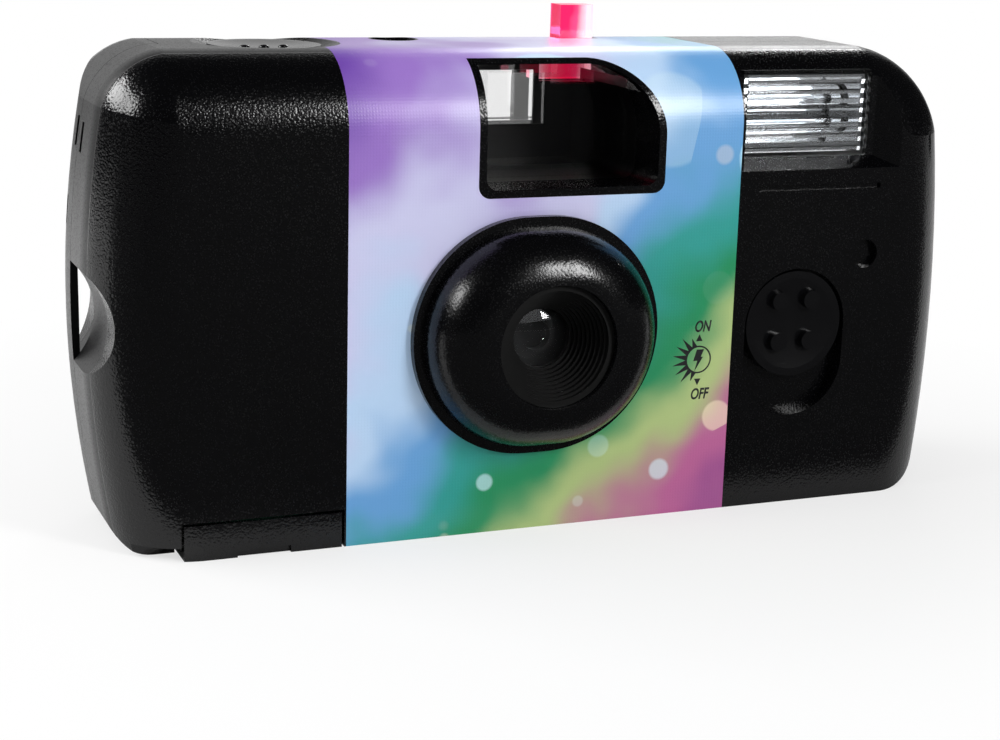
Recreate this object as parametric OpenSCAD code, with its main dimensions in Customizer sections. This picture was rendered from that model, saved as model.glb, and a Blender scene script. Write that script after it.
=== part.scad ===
// Single-use 35 mm film camera with a built-in flash, in millimetres.
// +X is to the viewer's right, the front faces -Y and +Z is up.
// The origin lies under the middle of the whole camera, on the surface it stands on.

/* [Body] */
// Width of the body
body_w = 105.5; // [105:0.5:108]
// Height of the body without the raised light pipe
body_h = 54; // [54:0.5:57]
// Depth of the two covers together
body_d = 27; // [27:0.5:29]
// Wall of the covers
wall = 1.3; // [1.1:0.1:1.5]
// Rounding of the front edges
front_r = 8.5; // [7.5:0.5:9]
// Radius of the upper left corner
left_corner_r = 8.5; // [8.5:0.5:10]
// Radius of the upper right corner
right_corner_r = 13; // [10:0.5:14]
// Rounding of the rear edges
rear_r = 6; // [5.5:0.5:6.5]
// Rounding of the rear edges at the two sides
side_rear_r = 11; // [10:0.5:12]
// Radius of the bowed left side
left_bow_r = 125; // [110:5:150]
// Height of the widest point on the left side
left_bow_z = 26; // [24:1:28]
// Radius of the bowed right side
right_bow_r = 180; // [160:10:220]
// Height of the widest point on the right side
right_bow_z = 22; // [18:1:26]
// Rounding of the lower left corner
left_foot_r = 4.5; // [3:0.5:5]
// Rounding of the lower right corner
right_foot_r = 8.5; // [6:0.5:8.5]
// Height of the step at the lower left, beside the film door
toe_h = 1.5; // [1:0.1:1.6]
// Seam between the covers, behind the front face
seam_depth = 14; // [13:0.5:15]
// Gap left at a seam
seam_gap = 0.1; // [0.05:0.05:0.2]

/* [Label] */
// Width of the wrap-round label
label_w = 47.1; // [44:0.1:49]
// Left edge of the label, from the middle of the body
label_left = -25.65; // [-26.2:0.05:-25.2]
// Thickness of the label
label_t = 0.2; // [0.15:0.05:0.3]

/* [Lens] */
// Lens axis, from the middle of the body
lens_offset = -3.65; // [-4.2:0.05:-3.4]
// Distance from the film cartridge's axis to the lens axis
cart_to_lens = 30.7; // [30.5:0.1:32]
// How far the lens ring stands out of the front face
lens_proud = 7; // [6:0.5:8]
// Half height of the lens ring's flange
flange_r = 13.5; // [13:0.1:14.5]
// Half of the straight stretch that makes the ring an oval
oval_half = 1.3; // [0.5:0.1:2]
// Thickness of the ring's flange
flange_t = 1.0; // [0.8:0.1:1.4]
// Step from the flange in to the foot of the dome
flange_step = 1.1; // [0.8:0.1:1.5]
// Radius of the opening in the ring
mouth_r = 6.95; // [6.5:0.05:7.2]
// Radius of the ring's neck in the front cover
neck_r = 8.6; // [8.2:0.1:9]
// Radius of the taking lens
lens_r = 4.2; // [3.8:0.1:4.5]
// Clear radius of the hood where it meets the lens
hood_throat_r = 3.4; // [3:0.1:3.6]
// Grooves in the hood
hood_grooves = 9; // [5:1:12]
// Radius of the fixed aperture
aperture_r = 1.6; // [1.2:0.1:2]

/* [Film] */
// Height of the film cartridge over its caps
cart_h = 42.6; // [42:0.1:43.2]
// Radius of the cartridge shell
cart_r = 12.2; // [12:0.1:12.3]
// Radius of the cartridge caps
cap_r = 12.4; // [12.3:0.05:12.5]
// Height of the film
film_h = 35; // [34.9:0.05:35.1]
// Thickness of the film
film_t = 0.2; // [0.15:0.05:0.3]
// Radius of the unexposed roll
roll_r = 8.6; // [7.5:0.1:9]
// Width of the picture gate
gate_w = 36; // [35:0.5:36]
// Height of the picture gate
gate_h = 24; // [23:0.5:24]
// Pitch of the perforations
perf_pitch = 4.75; // [4.7:0.05:4.8]

/* [Thumb wheel and counter] */
// Radius of the thumb wheel
wheel_r = 11.6; // [11.2:0.1:11.8]
// Thickness of the thumb wheel
wheel_t = 3.4; // [3:0.1:3.5]
// Serrations on the thumb wheel
wheel_notches = 40; // [24:4:60]
// Radius of the counter dial
dial_r = 6.6; // [6:0.1:6.8]

/* [Shutter button] */
// Radius of the button's cap
button_r = 6.3; // [5.5:0.1:6.5]
// Travel of the button
button_travel = 1.2; // [0.8:0.1:1.2]

/* [Viewfinder] */
// Width of the viewfinder frame on the front
finder_w = 22.6; // [20:0.2:22.8]
// Middle of the viewfinder, from the lens axis
finder_offset = 4.1; // [3.5:0.1:4.6]
// Bottom of the viewfinder frame
finder_z0 = 38.3; // [38.2:0.1:39]
// Large rounding at the frame's upper right corner
finder_corner_r = 8.5; // [6:0.5:9]
// Width of the frame's rim
finder_rim = 0.9; // [0.8:0.1:1.2]
// Depth of the viewfinder box
finder_depth = 19; // [18:0.2:19.2]
// Width of the eyepiece
eye_w = 7.2; // [6:0.2:7.4]
// Height of the eyepiece
eye_h = 6; // [5:0.2:6.4]

/* [Flash] */
// Width of the flash window
flash_w = 16; // [15:0.2:16.6]
// Height of the flash window
flash_h = 9; // [8.4:0.2:9.2]
// Distance of the flash window from the label
flash_margin = 1.3; // [1.1:0.1:1.6]
// Distance of the flash window from the top
flash_drop = 2.8; // [2.6:0.1:3.2]
// Depth of the recess round the flash window
flash_recess = 2; // [1.8:0.1:2.2]
// Width of the slope at the right of the recess
flash_bevel = 2.7; // [2:0.1:3.2]
// Height of the slope below the recess
flash_ledge = 1.2; // [0.8:0.1:1.6]
// Depth of the reflector
reflector_d = 6.2; // [5:0.2:6.6]
// Radius of the flash tube
tube_r = 1.1; // [0.9:0.1:1.3]

/* [Flash switch] */
// Radius of the switch's round plate
switch_r = 6.35; // [5.8:0.05:6.5]
// Travel of the switch from on to off
switch_travel = 4.4; // [3.6:0.1:4.6]
// Distance of the switch's axis from the lens axis
switch_offset = 33.5; // [33:0.1:34.2]
// Height of the switch when it is on
switch_z = 22; // [21:0.1:23]
// Depth of the switch's recess
switch_recess = 1.7; // [1.5:0.1:1.9]
// Height of the light pipe above the top when it is raised
pipe_rise = 3.9; // [3.2:0.1:4.1]

/* [Strap opening] */
// Radius of the notch for the strap
strap_r = 7.7; // [7:0.1:8.2]
// Depth of the notch in the front cover
strap_deep = 2.5; // [2.2:0.1:2.8]
// How much deeper the opening is in the rear cover
strap_step = 1.6; // [1.2:0.1:1.8]
// Middle of the strap opening
strap_z = 25.3; // [24:0.1:27]
// Thickness of the bar that holds the strap
strap_bar = 0.9; // [0.8:0.1:1]
// Depth of the bar that holds the strap
strap_bar_d = 4; // [3:0.5:4.5]
// Inner wall beside the strap opening
strap_wall = 1; // [0.8:0.1:1.2]

/* [Film door] */
// Thickness of the film door
door_t = 1.2; // [1:0.1:1.3]
// Height of the door's skirt on the front
door_skirt = 4; // [3:0.2:5]
// Clearance round the door
door_gap = 0.3; // [0.25:0.05:0.4]
// Radius of the door's hinge barrels
barrel_r = 0.9; // [0.8:0.05:0.95]
// Radius of the hinge pin
hinge_pin_r = 0.4; // [0.3:0.05:0.5]

/* [Power] */
// Radius of the cell
cell_r = 5.2; // [5.1:0.05:5.25]
// Length of the cell without its button
cell_h = 43.3; // [42.5:0.1:43.5]
// Radius of the flash capacitor
cap_can_r = 3.6; // [3:0.1:4]
// Height of the flash capacitor
cap_can_h = 24; // [20:1:26]

/* [Hidden] */
$fn = 64;

// Running clearance of pins and shafts
run_gap = 0.05;
// Clearance between fixed pieces that seat together
seat_gap = 0.05;
// Air between pieces that move past each other
air = 0.3;
// Overlap that makes a cut pass clean through
cut = 1;

// Faces of the body
y_front = (lens_proud - body_d)/2;
y_rear = y_front + body_d;
y_seam = y_front + seam_depth;
y_inner = y_front + wall;
z_roof = body_h - wall;

// Centres of the upper corner roundings, tangent to the bowed sides
left_cx = left_bow_r - body_w/2;
right_cx = body_w/2 - right_bow_r;
left_corner_z = body_h - left_corner_r;
right_corner_z = body_h - right_corner_r;
left_corner_x = left_cx
    - sqrt(pow(left_bow_r - left_corner_r, 2) - pow(left_corner_z - left_bow_z, 2));
right_corner_x = right_cx
    + sqrt(pow(right_bow_r - right_corner_r, 2) - pow(right_corner_z - right_bow_z, 2));
left_corner_a = 180 - asin((left_corner_z - left_bow_z)/(left_bow_r - left_corner_r));
right_corner_a = asin((right_corner_z - right_bow_z)/(right_bow_r - right_corner_r));
// How far the corner's round form stands clear of the edges that run into it
corner_ease = 0.1;

// How far the front cover's top runs onto the rear rounding
deck_over = 2.2;

// Step under the front of the lower left corner, and the wall behind it
toe_depth = 3.7;
toe_wall = 0.9;
// Slots through the left side for the snaps between the covers
snap_w = 1;
snap_h = 3.2;

// Label, and how far its openings stand clear of what passes through them
label_right = label_left + label_w;
label_round_gap = 0.3;
label_pipe_gap = 0.6;
label_eye_gap = 1.2;
label_neck_gap = 2.4;

// Film path
film_y = y_rear - wall - 2.4;
lens_x = lens_offset;
cart_x = lens_x - cart_to_lens;
cart_y = film_y - 9.9;
cart_z0 = door_t + air;
cart_z1 = cart_z0 + cart_h;
lens_z = cart_z0 + cart_h/2;
film_z0 = lens_z - film_h/2;
film_z1 = lens_z + film_h/2;
rail_w = 2.2;
supply_x = lens_x + gate_w/2 + rail_w + roll_r;
supply_y = film_y - roll_r - 0.1;
// Air between the film's edges and what holds it
film_gap = 0.4;
spool_r = 5.4;
spool_bore_r = 3;
spool_flange_t = 1;
// Wall of the cartridge shell, and the lip that the film leaves it by
can_t = 0.4;
lip_l = 11;
lip_below = 1.2;
lip_above = 1.3;
lip_wall_below = 0.7;
lip_wall_above = 0.6;
// Perforations and their distance from the film's edge
perf_w = 2;
perf_h = 2.8;
perf_edge = 2;
cap_t = 1.2;
pocket_r = cap_r + 0.2;

// Thumb wheel and counter
wheel_z0 = cart_z1 + 0.8;
wheel_z1 = wheel_z0 + wheel_t;
wheel_pocket_r = wheel_r + air;
sprocket_teeth = 8;
sprocket_pitch_r = sprocket_teeth*perf_pitch/(2*PI);
sprocket_tip_r = sprocket_pitch_r - 0.1;
perf_z = film_z1 - perf_edge - perf_h/2;
sprocket_t = 1.8;
tooth_w = 1.4;
sprocket_x = cart_x + sqrt(pow(cap_r, 2) - pow(3.8, 2)) + sprocket_tip_r + air + 0.1;
sprocket_y = film_y - sprocket_pitch_r;
shaft_r = 1.4;
dial_t = 1;
dial_z0 = z_roof - 3.9;
dial_x = finder_left() - finder_rim - air - dial_r;
dial_y = sprocket_y - 0.7;
dial_post_r = 1.6;
counter_x = dial_x + 4.4;
counter_y = dial_y + 2.8;
counter_r = 2.6;

// Shutter button
button_x = cart_x + 3.9;
button_y = cart_y + 2.6;
button_top = body_h - 0.2;
collar_r = button_r + 0.6;
dish_r = button_r + 1.8;
dish_depth = 0.7;
button_gap = 0.15;
button_stem_r = 1.5;
// Hollow of the button's top, and the three pips on it
button_hollow = 0.4;
button_hollow_r = 40;
pip_r = 0.45;
pip_pitch = 2.3;
pip_back = 2;
pip_sunk = 0.2;
// Release lever under the button, and the lugs that carry it
lever_px = button_x - 1;
lever_py = cart_y - 7.6;
lever_z = wheel_z1 + button_travel + 0.7;
lever_t = 0.8;
lever_half = 2.4;
lever_over = 2.4;
lever_pin_r = 0.6;
lever_pin_over = 1.4;
lug_t = 1;
lug_half = 1.3;
lug_gap = 0.25;

// Lens stack, measured from the front face
function lens_y(t) = y_front - t;
dome_r = lens_proud - flange_t - 0.1;
dome_c = flange_r - flange_step - dome_r;
neck_back = -1.4;
hood_t0 = 1.3;
hood_t1 = lens_proud - 0.7;
lens_edge_t = 0.8;
lens_back_t = -0.4;
lens_sag = 1.2;
lens_ball_r = (pow(lens_r, 2) + pow(lens_sag, 2))/(2*lens_sag);
lens_hollow = 0.6;
lens_hollow_r = 10;

// Shutter
frame_front_y = y_front + 2.4;
frame_plate_t = 1;
blade_t = 0.4;
blade_y = frame_front_y - 0.3 - blade_t;
blade_px = lens_x + 6.5;
blade_pz = lens_z + 7.5;
blade_pin_r = 0.7;
blade_arm_w = 3;
blade_disc_r = 3;
// Tail of the blade that the drive lever strikes
blade_tail = [0.5, 5.4];
blade_tail_w = 2;
// Drive lever, its post on the light box and the seat of its spring below it
drive_px = lens_x + 8;
drive_py = y_front + 8.6;
drive_z0 = lens_z + 12.7;
drive_post_r = 1;
drive_post_z0 = lens_z + 6;
drive_seat_z = drive_z0 - 1.9;
drive_collar = 0.9;
drive_t = 0.8;
drive_hub_r = 2;
// Springs
coil_sides = 6;
coil_rings = 8;
spring_wire_r = 0.15;
spring_pitch = 0.75;
spring_gap = 0.05;
blade_spring_turns = 12;
blade_spring_core = 0.2;
drive_spring_turns = 2;
drive_spring_core = drive_post_r + 0.15;

// Viewfinder
function finder_left() = lens_x + finder_offset - finder_w/2;
finder_x0 = finder_left();
finder_x1 = finder_x0 + finder_w;
finder_top = body_h - 0.9;
finder_back_y = y_front + finder_depth;
finder_t = 1;
eye_x = finder_x0 + finder_w/2 - 1.2;
eye_z = finder_z0 + 9.2;
eye_gap = 0.6;

// Flash unit
flash_x0 = label_right + flash_margin;
flash_x1 = flash_x0 + flash_w;
flash_z1 = body_h - flash_drop;
flash_z0 = flash_z1 - flash_h;
flash_y = y_front + flash_recess;
window_t = 1;
window_lip = 0.5;
window_rib_h = 0.35;
// Floor of the recess round the window
flash_floor_x0 = label_right + 0.3;
flash_floor_x1 = flash_x1 + 1.4;
flash_floor_z0 = flash_z0 - 0.6;
flash_floor_z1 = flash_z1 + 0.8;
reflector_y = flash_y + window_t + seat_gap;
reflector_t = 0.5;
reflector_gap = 0.2;
// The tube's place in the reflector, and how far its ends stand out of it
tube_y = reflector_y + 3.4;
tube_z = (flash_z0 + flash_z1)/2;
tube_over = 0.6;
tube_gap = 0.2;

// Flash switch and light pipe
switch_x = lens_x + switch_offset;
switch_floor_y = y_front + switch_recess;
switch_plate_t = 1.3;
switch_gap = 0.35;
switch_stem_r = 1.5;
// Hollow of the switch's face, and the four studs on it
switch_hollow = 0.5;
switch_hollow_r = 30;
stud_r = 1.1;
stud_rise = 0.5;
stud_x = 2.1;
stud_z = 2.45;
stud_up = 0.4;
arm_y0 = switch_floor_y + wall + air;
arm_t = 1;
leg_x0 = finder_x1 + finder_rim + 1.5;
leg_w = 3.4;
bar_w = 1.2;
bar_h = 2.4;
bar_z0 = 47.2;
pipe_w = 4.2;
pipe_d = 3;
pipe_x1 = leg_x0 - 3.2;
pipe_x0 = pipe_x1 - pipe_w;
pipe_y0 = finder_back_y + air + 0.2;
pipe_top = body_h + pipe_rise;
pipe_z0 = pipe_top - 8.7;
pipe_foot_h = 2.5;
pipe_foot_w = 7.4;
pipe_gap = 0.25;

// Main frame
deck_z = film_z1 + 0.7;
deck_t = 1.2;
deck_y0 = y_front + 11;
strut_d = 1.4;
gate_wall = 1;
gate_y = film_y - 0.2;
// Front plate, and the opening in it behind the aperture
plate_half = 11;
plate_below = 9;
plate_above = 11;
stop_half = 2.6;
// Rails above and below the gate
rail_half = 1.4;
rail_d = 2;
// Bridge from the light box to the supply roll's chamber
bridge_y0 = film_y - 5;
bridge_y1 = film_y - 2.6;
chamber_floor = 1;
chamber_mouth = 4;
roll_gap = 0.6;
chamber_r = roll_r + roll_gap;
throat_w = 8;
throat_h = 7;

// Strap opening
strap_x0 = -body_w/2 + strap_bar;
strap_front_x = -body_w/2 + strap_deep - strap_r;
strap_rear_x = strap_front_x + strap_step;

// Film door hinge along Y at the lower left
door_x0 = cart_x - 9.4;
door_x1 = label_left - door_gap - 0.2;
door_y1 = y_rear - wall - 1.2;
hinge_x = cart_x - cap_r + 0.1;
hinge_z = barrel_r + 0.05;
barrel_l = 3;
barrel_ys = [cart_y - 8.4, cart_y + 7.2];
// Hinge pin, which stands out of the barrels into the covers
pin_over = 0.6;
pin_y0 = barrel_ys[0] - pin_over;
pin_y1 = barrel_ys[1] + barrel_l + pin_over;
pin_seat_gap = 0.02;
pin_end_gap = 0.1;

// Power and electronics
cell_x = body_w/2 - wall - 9.85;
contact_half = 2;
cell_button_r = 1.9;
button_rise = 1;
contact_t = 0.4;
cell_y = y_front + 14;
cell_z0 = wall + 1.2;
board_t = 1;
board_y = arm_y0 + arm_t + air;
board_x0 = switch_x + 3;
board_x1 = body_w/2 - 4.5;
board_z0 = 5;
board_z1 = 39;
lamp_r = 1.2;
lamp_h = 2;
transformer = [6, 2.6, 7];
transformer_z0 = 30;
cap_can_x0 = lens_x - 14;
cap_can_y = y_inner + cap_can_r + 1.6;
black = [0.05, 0.05, 0.055];

// Outline of the edge of the body: x is the distance from a sweep axis, y the depth
module edge_profile(radius, rear, inset) {
    deep = max(front_r, rear);
    lap = 0.001;
    if (radius > deep)
        translate([0, y_front + inset]) square([radius - deep, body_d - 2*inset]);
    translate([radius - deep, y_front + front_r]) square([deep - inset, body_d - front_r - rear]);
    if (rear > front_r)
        translate([radius - deep, y_front + inset]) square([deep - front_r, front_r - inset + lap]);
    if (front_r > rear)
        translate([radius - deep, y_rear - rear - lap]) square([deep - rear, rear - inset + lap]);
    translate([radius - front_r, y_front + front_r]) circle(front_r - inset);
    translate([radius - rear, y_rear - rear]) circle(rear - inset);
}

// A disc about an axis along Y, with the rounded front and rear rims of the body
module rim_disc(x, z, radius, rear, inset) {
    translate([x, 0, z]) rotate([-90, 0, 0])
        rotate_extrude($fn = 96)
            intersection() {
                edge_profile(radius, rear, inset);
                translate([0, -body_d]) square([radius + cut, 2*body_d]);
            }
}

// Section of the body across X: x is the depth, y the height
module body_section(inset) {
    translate([y_front + inset, inset]) square([body_d - 2*inset, body_h - front_r - inset]);
    translate([y_front + front_r, inset]) square([body_d - front_r - rear_r, body_h - 2*inset]);
    translate([y_rear - rear_r - 0.001, body_h - front_r - cut])
        square([rear_r - inset + 0.001, front_r - rear_r + cut]);
    translate([y_front + front_r, body_h - front_r]) circle(front_r - inset);
    translate([y_rear - rear_r, body_h - rear_r]) circle(rear_r - inset);
}

// Extrudes a depth-height section along X
module along_x(x0, x1) {
    translate([x0, 0, 0]) rotate([90, 0, 90]) linear_extrude(x1 - x0) children();
}

// Extrudes a front view along Y
module along_y(y0, y1) {
    translate([0, y1, 0]) rotate([90, 0, 0]) linear_extrude(y1 - y0) children();
}

// A box between two corners
module block(low, high) {
    translate(low) cube(high - low);
}

// A round rod or disc along Y
module disc_y(x, z, radius, y0, y1) {
    translate([x, y0, z]) rotate([-90, 0, 0]) cylinder(r = radius, h = y1 - y0);
}

// A round rod or disc along Z
module disc_z(x, y, radius, z0, z1) {
    translate([x, y, z0]) cylinder(r = radius, h = z1 - z0);
}

// The closed outer form of the camera, drawn in by an inset
module body_solid(inset) {
    difference() {
        intersection() {
            along_x(-body_w, body_w) body_section(inset);
            rim_disc(left_cx, left_bow_z, left_bow_r, side_rear_r, inset);
            rim_disc(right_cx, right_bow_z, right_bow_r, side_rear_r, inset);
        }
        corner_cut(left_corner_x, left_corner_z, left_corner_r, left_corner_a, inset);
        corner_cut(right_corner_x, right_corner_z, right_corner_r, right_corner_a, inset);
        left_foot(inset);
        right_foot(inset);
    }
}

// Takes off an upper corner outside a round form, in the wedge between the side and the top
module corner_cut(x, z, radius, side_a, inset) {
    far = 3*radius;
    side = far*[cos(side_a), sin(side_a)];
    up = [0, far];
    difference() {
        along_y(y_front - cut, y_rear + cut)
            translate([x, z]) polygon([[0, 0], side, side + up, up]);
        rim_disc(x, z, radius, rear_r, inset - corner_ease);
    }
}

// Cuts the rounding of a lower corner, its centre at x and out to the given side
module foot_cut(x, radius, side, inset) {
    along_y(-body_d, body_d)
        translate([x, 0]) mirror([side < 0 ? 1 : 0, 0])
            difference() {
                translate([0, inset - cut]) square([radius + 2*cut, radius - inset + cut]);
                translate([0, radius]) circle(radius - inset);
            }
}

module left_foot(inset) {
    x = left_cx - sqrt(pow(left_bow_r, 2) - pow(left_bow_z - left_foot_r, 2)) + left_foot_r;
    foot_cut(x, left_foot_r, -1, inset);
}

module right_foot(inset) {
    x = right_cx + sqrt(pow(right_bow_r, 2) - pow(right_bow_z - right_foot_r, 2)) - right_foot_r;
    foot_cut(x, right_foot_r, 1, inset);
}

// The walls of the two covers, before they are parted
module shell() {
    difference() {
        union() {
            difference() {
                body_solid(0);
                body_solid(wall);
            }
            intersection() {
                body_solid(0);
                strap_walls();
            }
        }
        strap_opening();
        label_band(cut);
        disc_z(cart_x, cart_y, pocket_r, wall, cart_z1 + air);
        disc_z(cart_x, cart_y, wheel_pocket_r, wheel_z0 - air, wheel_z1 + air);
        door_space();
    }
}

// Solid round the strap opening
module strap_walls() {
    disc_y(strap_rear_x, strap_z, strap_r + strap_wall, y_front - cut, y_rear + cut);
}

// The strap opening: a notch in the front cover, and a deeper one behind a bar in the rear cover
module strap_opening() {
    disc_y(strap_front_x, strap_z, strap_r, y_front - cut, y_seam);
    difference() {
        disc_y(strap_rear_x, strap_z, strap_r, y_seam, y_rear + cut);
        block([-body_w, y_seam - cut, 0], [strap_x0, y_seam + strap_bar_d, body_h]);
    }
}

// Space that the film door and its hinge take out of the covers
module door_space() {
    block([door_x0 - door_gap, y_front - cut, -cut],
          [door_x1 + door_gap, door_y1 + door_gap, door_t + seat_gap]);
    block([door_x0 - door_gap, y_front - cut, -cut],
          [door_x1 + door_gap, y_inner + seat_gap, door_skirt + door_gap]);
    for (y = barrel_ys)
        block([hinge_x - barrel_r - air, y - air, -cut],
              [door_x0, y + barrel_l + air, hinge_z + barrel_r + air]);
}

// The part of the top that belongs to the front cover
module top_deck_zone(gap) {
    block([left_corner_x - gap, y_seam - cut, z_roof - cut],
          [label_right + gap, y_rear - rear_r + deck_over + gap, body_h + cut]);
}

// Front view of the viewfinder frame with its large upper right corner
module finder_outline(inset) {
    r = finder_corner_r - inset;
    small = 1.4;
    x0 = finder_x0 + inset;
    x1 = finder_x1 - inset;
    z0 = finder_z0 + inset;
    z1 = finder_top - (inset > 0 ? inset - 0.3 : 0);
    translate([x0 + small, z0]) square([x1 - x0 - 2*small, z1 - z0 - r]);
    translate([x0, z0 + small]) square([x1 - x0, z1 - z0 - r - small]);
    translate([x0, z1 - r - cut]) square([x1 - x0 - r, r + cut]);
    intersection() {
        translate([x1 - r, z1 - r]) circle(r);
        translate([x1 - r - cut, z1 - r]) square(r + cut);
    }
    for (x = [x0 + small, x1 - small])
        translate([x, z0 + small]) circle(small);
}

module finder_box() {
    difference() {
        along_y(y_front + 0.6, finder_back_y) finder_outline(finder_rim - finder_t);
        along_y(y_front - cut, finder_back_y - finder_t) finder_outline(finder_rim);
        block([eye_x - eye_w/2, y_front, eye_z - eye_h/2], [eye_x + eye_w/2, y_rear, eye_z + eye_h/2]);
        // slot through which the foot of the light pipe shows
        block([pipe_x1 - pipe_foot_w, y_front, pipe_z0 - 0.1],
              [pipe_x1 - 1.6, y_rear, pipe_z0 + pipe_foot_h + 0.4]);
    }
}

// Floor of the flash recess, grown by a wall for the pan behind it
module flash_pan() {
    block([flash_floor_x0 - wall, y_inner - 0.4, flash_floor_z0 - wall],
          [flash_floor_x1 + flash_bevel, flash_y + wall, flash_floor_z1 + wall]);
}

// Recess with sloped sides at the right and below, the window's opening and a groove under them
module flash_cut() {
    out = (flash_recess + cut)/flash_recess;
    intersection() {
        translate([0, 0, flash_floor_z0 - flash_drop*2]) linear_extrude(body_h)
            polygon([[flash_floor_x0, y_front - cut], [flash_floor_x0, flash_y], [flash_floor_x1, flash_y],
                     [flash_floor_x1 + flash_bevel*out, y_front - cut]]);
        along_x(flash_floor_x0 - cut, body_w)
            polygon([[flash_y, flash_floor_z0], [flash_y, flash_floor_z1],
                     [y_front - cut, flash_floor_z1 + cut],
                     [y_front - cut, flash_floor_z0 - flash_ledge*out]]);
    }
    block([flash_x0 - window_lip - seat_gap, y_front - cut, flash_z0 - window_lip - seat_gap],
          [flash_x1 + window_lip + seat_gap, y_front + front_r, flash_z1 + window_lip + seat_gap]);
    groove_z = flash_floor_z0 - flash_ledge - 2.4;
    block([flash_x0 + 1.3, y_front - cut, groove_z], [flash_x1 + 1.6, y_front + 0.4, groove_z + 0.6]);
}

// Front view of a slot with round ends, upright
module upright_slot(x, z0, z1, r) {
    translate([x - r, z0]) square([2*r, z1 - z0]);
    for (z = [z0, z1])
        translate([x, z]) circle(r);
}

// Recess, floor slot and walls for the flash switch
module switch_cut() {
    along_y(y_front - cut, switch_floor_y)
        upright_slot(switch_x, switch_z - switch_travel, switch_z, switch_r + switch_gap);
    along_y(y_front, y_front + 6)
        upright_slot(switch_x, switch_z - switch_travel, switch_z, switch_stem_r + air);
}

module switch_pan() {
    along_y(y_inner - 0.4, switch_floor_y + wall)
        upright_slot(switch_x, switch_z - switch_travel, switch_z, switch_r + switch_gap + wall);
}

// Recess and hole for the shutter button
module button_cut() {
    disc_z(button_x, button_y, button_r + button_gap, z_roof - cut, body_h + cut);
    translate([button_x, button_y, body_h - dish_depth])
        cylinder(r1 = button_r + button_gap, r2 = dish_r, h = dish_depth + 0.01);
}

// Lugs under the roof that carry the release lever, and the post of the counter dial
module roof_fittings() {
    root = 0.5;
    lug_x = lever_half + lug_gap + lug_t/2;
    for (s = [-1, 1])
        difference() {
            translate([lever_px + s*lug_x, lever_py, 0])
                block([-lug_t/2, -lug_half, lever_z - lug_half], [lug_t/2, lug_half, z_roof + root]);
            lever_pin(lever_pin_r + run_gap, 4*lever_half);
        }
    disc_z(dial_x, dial_y, dial_post_r, dial_z0 - 0.6, z_roof + root);
}

// A rod along the release lever's axis that stands out of both sides of the lever
module lever_pin(r, over) {
    translate([lever_px - lever_half - over, lever_py, lever_z]) rotate([0, 90, 0])
        cylinder(r = r, h = 2*(lever_half + over));
}

// Posts that carry the circuit board
module board_posts() {
    for (p = [[board_x0 + 2, board_z0 + 2], [board_x1 - 2, board_z0 + 2], [board_x1 - 2, board_z1 - 2]])
        disc_y(p[0], p[1], 1.5, y_inner - wall/2, board_y);
}

module front_cover() {
    color(black)
    difference() {
        union() {
            intersection() {
                shell();
                union() {
                    block([-body_w, -body_d, -cut], [body_w, y_seam - seam_gap/2, body_h + cut]);
                    top_deck_zone(0);
                }
            }
            intersection() {
                finder_box();
                body_solid(label_t);
            }
            switch_pan();
            intersection() {
                union() {
                    roof_fittings();
                    flash_pan();
                    board_posts();
                    toe_form(toe_wall);
                }
                body_solid(wall/2);
            }
        }
        along_y(y_front - cut, y_front + 12) finder_outline(finder_rim);
        disc_y(lens_x, lens_z, neck_r + seat_gap, y_front - cut, y_inner + cut);
        flash_cut();
        switch_cut();
        button_cut();
        // blind sensor port beside the flash
        disc_y(switch_x + 9, switch_z + 8.1, 1.7, y_front - cut, y_front + 0.9);
        counter_cut();
        pipe_opening(pipe_gap);
        hinge_bore();
        snap_slot(y_seam - 2.3, lens_z + 20);
        toe_form(0);
    }
}

// Step under the front of the lower left corner, or the solid behind it when it is grown by a wall
module toe_form(grow) {
    block([-body_w, y_front - cut, -cut], [door_x0 - door_gap, y_front + toe_depth + grow, toe_h + grow]);
}

// Slot through the left side for a snap between the covers
module snap_slot(y, z) {
    block([-body_w, y, z], [-body_w/2 + 4, y + snap_w, z + snap_h]);
}

module counter_cut() {
    disc_z(counter_x, counter_y, counter_r, z_roof - cut, body_h + cut);
}

// Opening in the top that the light pipe rises through
module pipe_opening(grow) {
    block([pipe_x0 - grow, pipe_y0 - grow, z_roof - cut],
          [pipe_x1 + grow, pipe_y0 + pipe_d + grow, body_h + cut]);
}

// Opening in the back for the eyepiece
module eye_opening(grow) {
    block([eye_x - eye_w/2 - grow, y_seam + 6, eye_z - eye_h/2 - grow],
          [eye_x + eye_w/2 + grow, y_rear + cut, eye_z + eye_h/2 + grow]);
}

module rear_cover() {
    color(black)
    difference() {
        union() {
            difference() {
                intersection() {
                    shell();
                    block([-body_w, y_seam + seam_gap/2, -cut], [body_w, body_d, body_h + cut]);
                }
                top_deck_zone(seam_gap);
            }
            // pressure ribs behind the film
            for (s = [-1, 1])
                block([lens_x - gate_w/2, film_y + film_t + 0.3, lens_z + s*15 - 0.6],
                      [lens_x + gate_w/2, y_rear - wall + 0.3, lens_z + s*15 + 0.6]);
        }
        // thumb opening for the wheel
        intersection() {
            disc_z(cart_x, y_rear + 17, 20.6, wheel_z0 - 1.2, wheel_z1 + 1.2);
            block([-body_w, y_seam, 0], [body_w, body_d, body_h]);
        }
        eye_opening(eye_gap);
        button_cut();
        hinge_bore();
        snap_slot(y_seam + 0.5, lens_z + 20.4);
        snap_slot(y_seam + 2.6, lens_z + 11.6);
    }
}

// Bore of the door's hinge pin
module hinge_bore() {
    disc_y(hinge_x, hinge_z, hinge_pin_r + pin_seat_gap, pin_y0 - pin_end_gap, pin_y1 + pin_end_gap);
}

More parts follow.
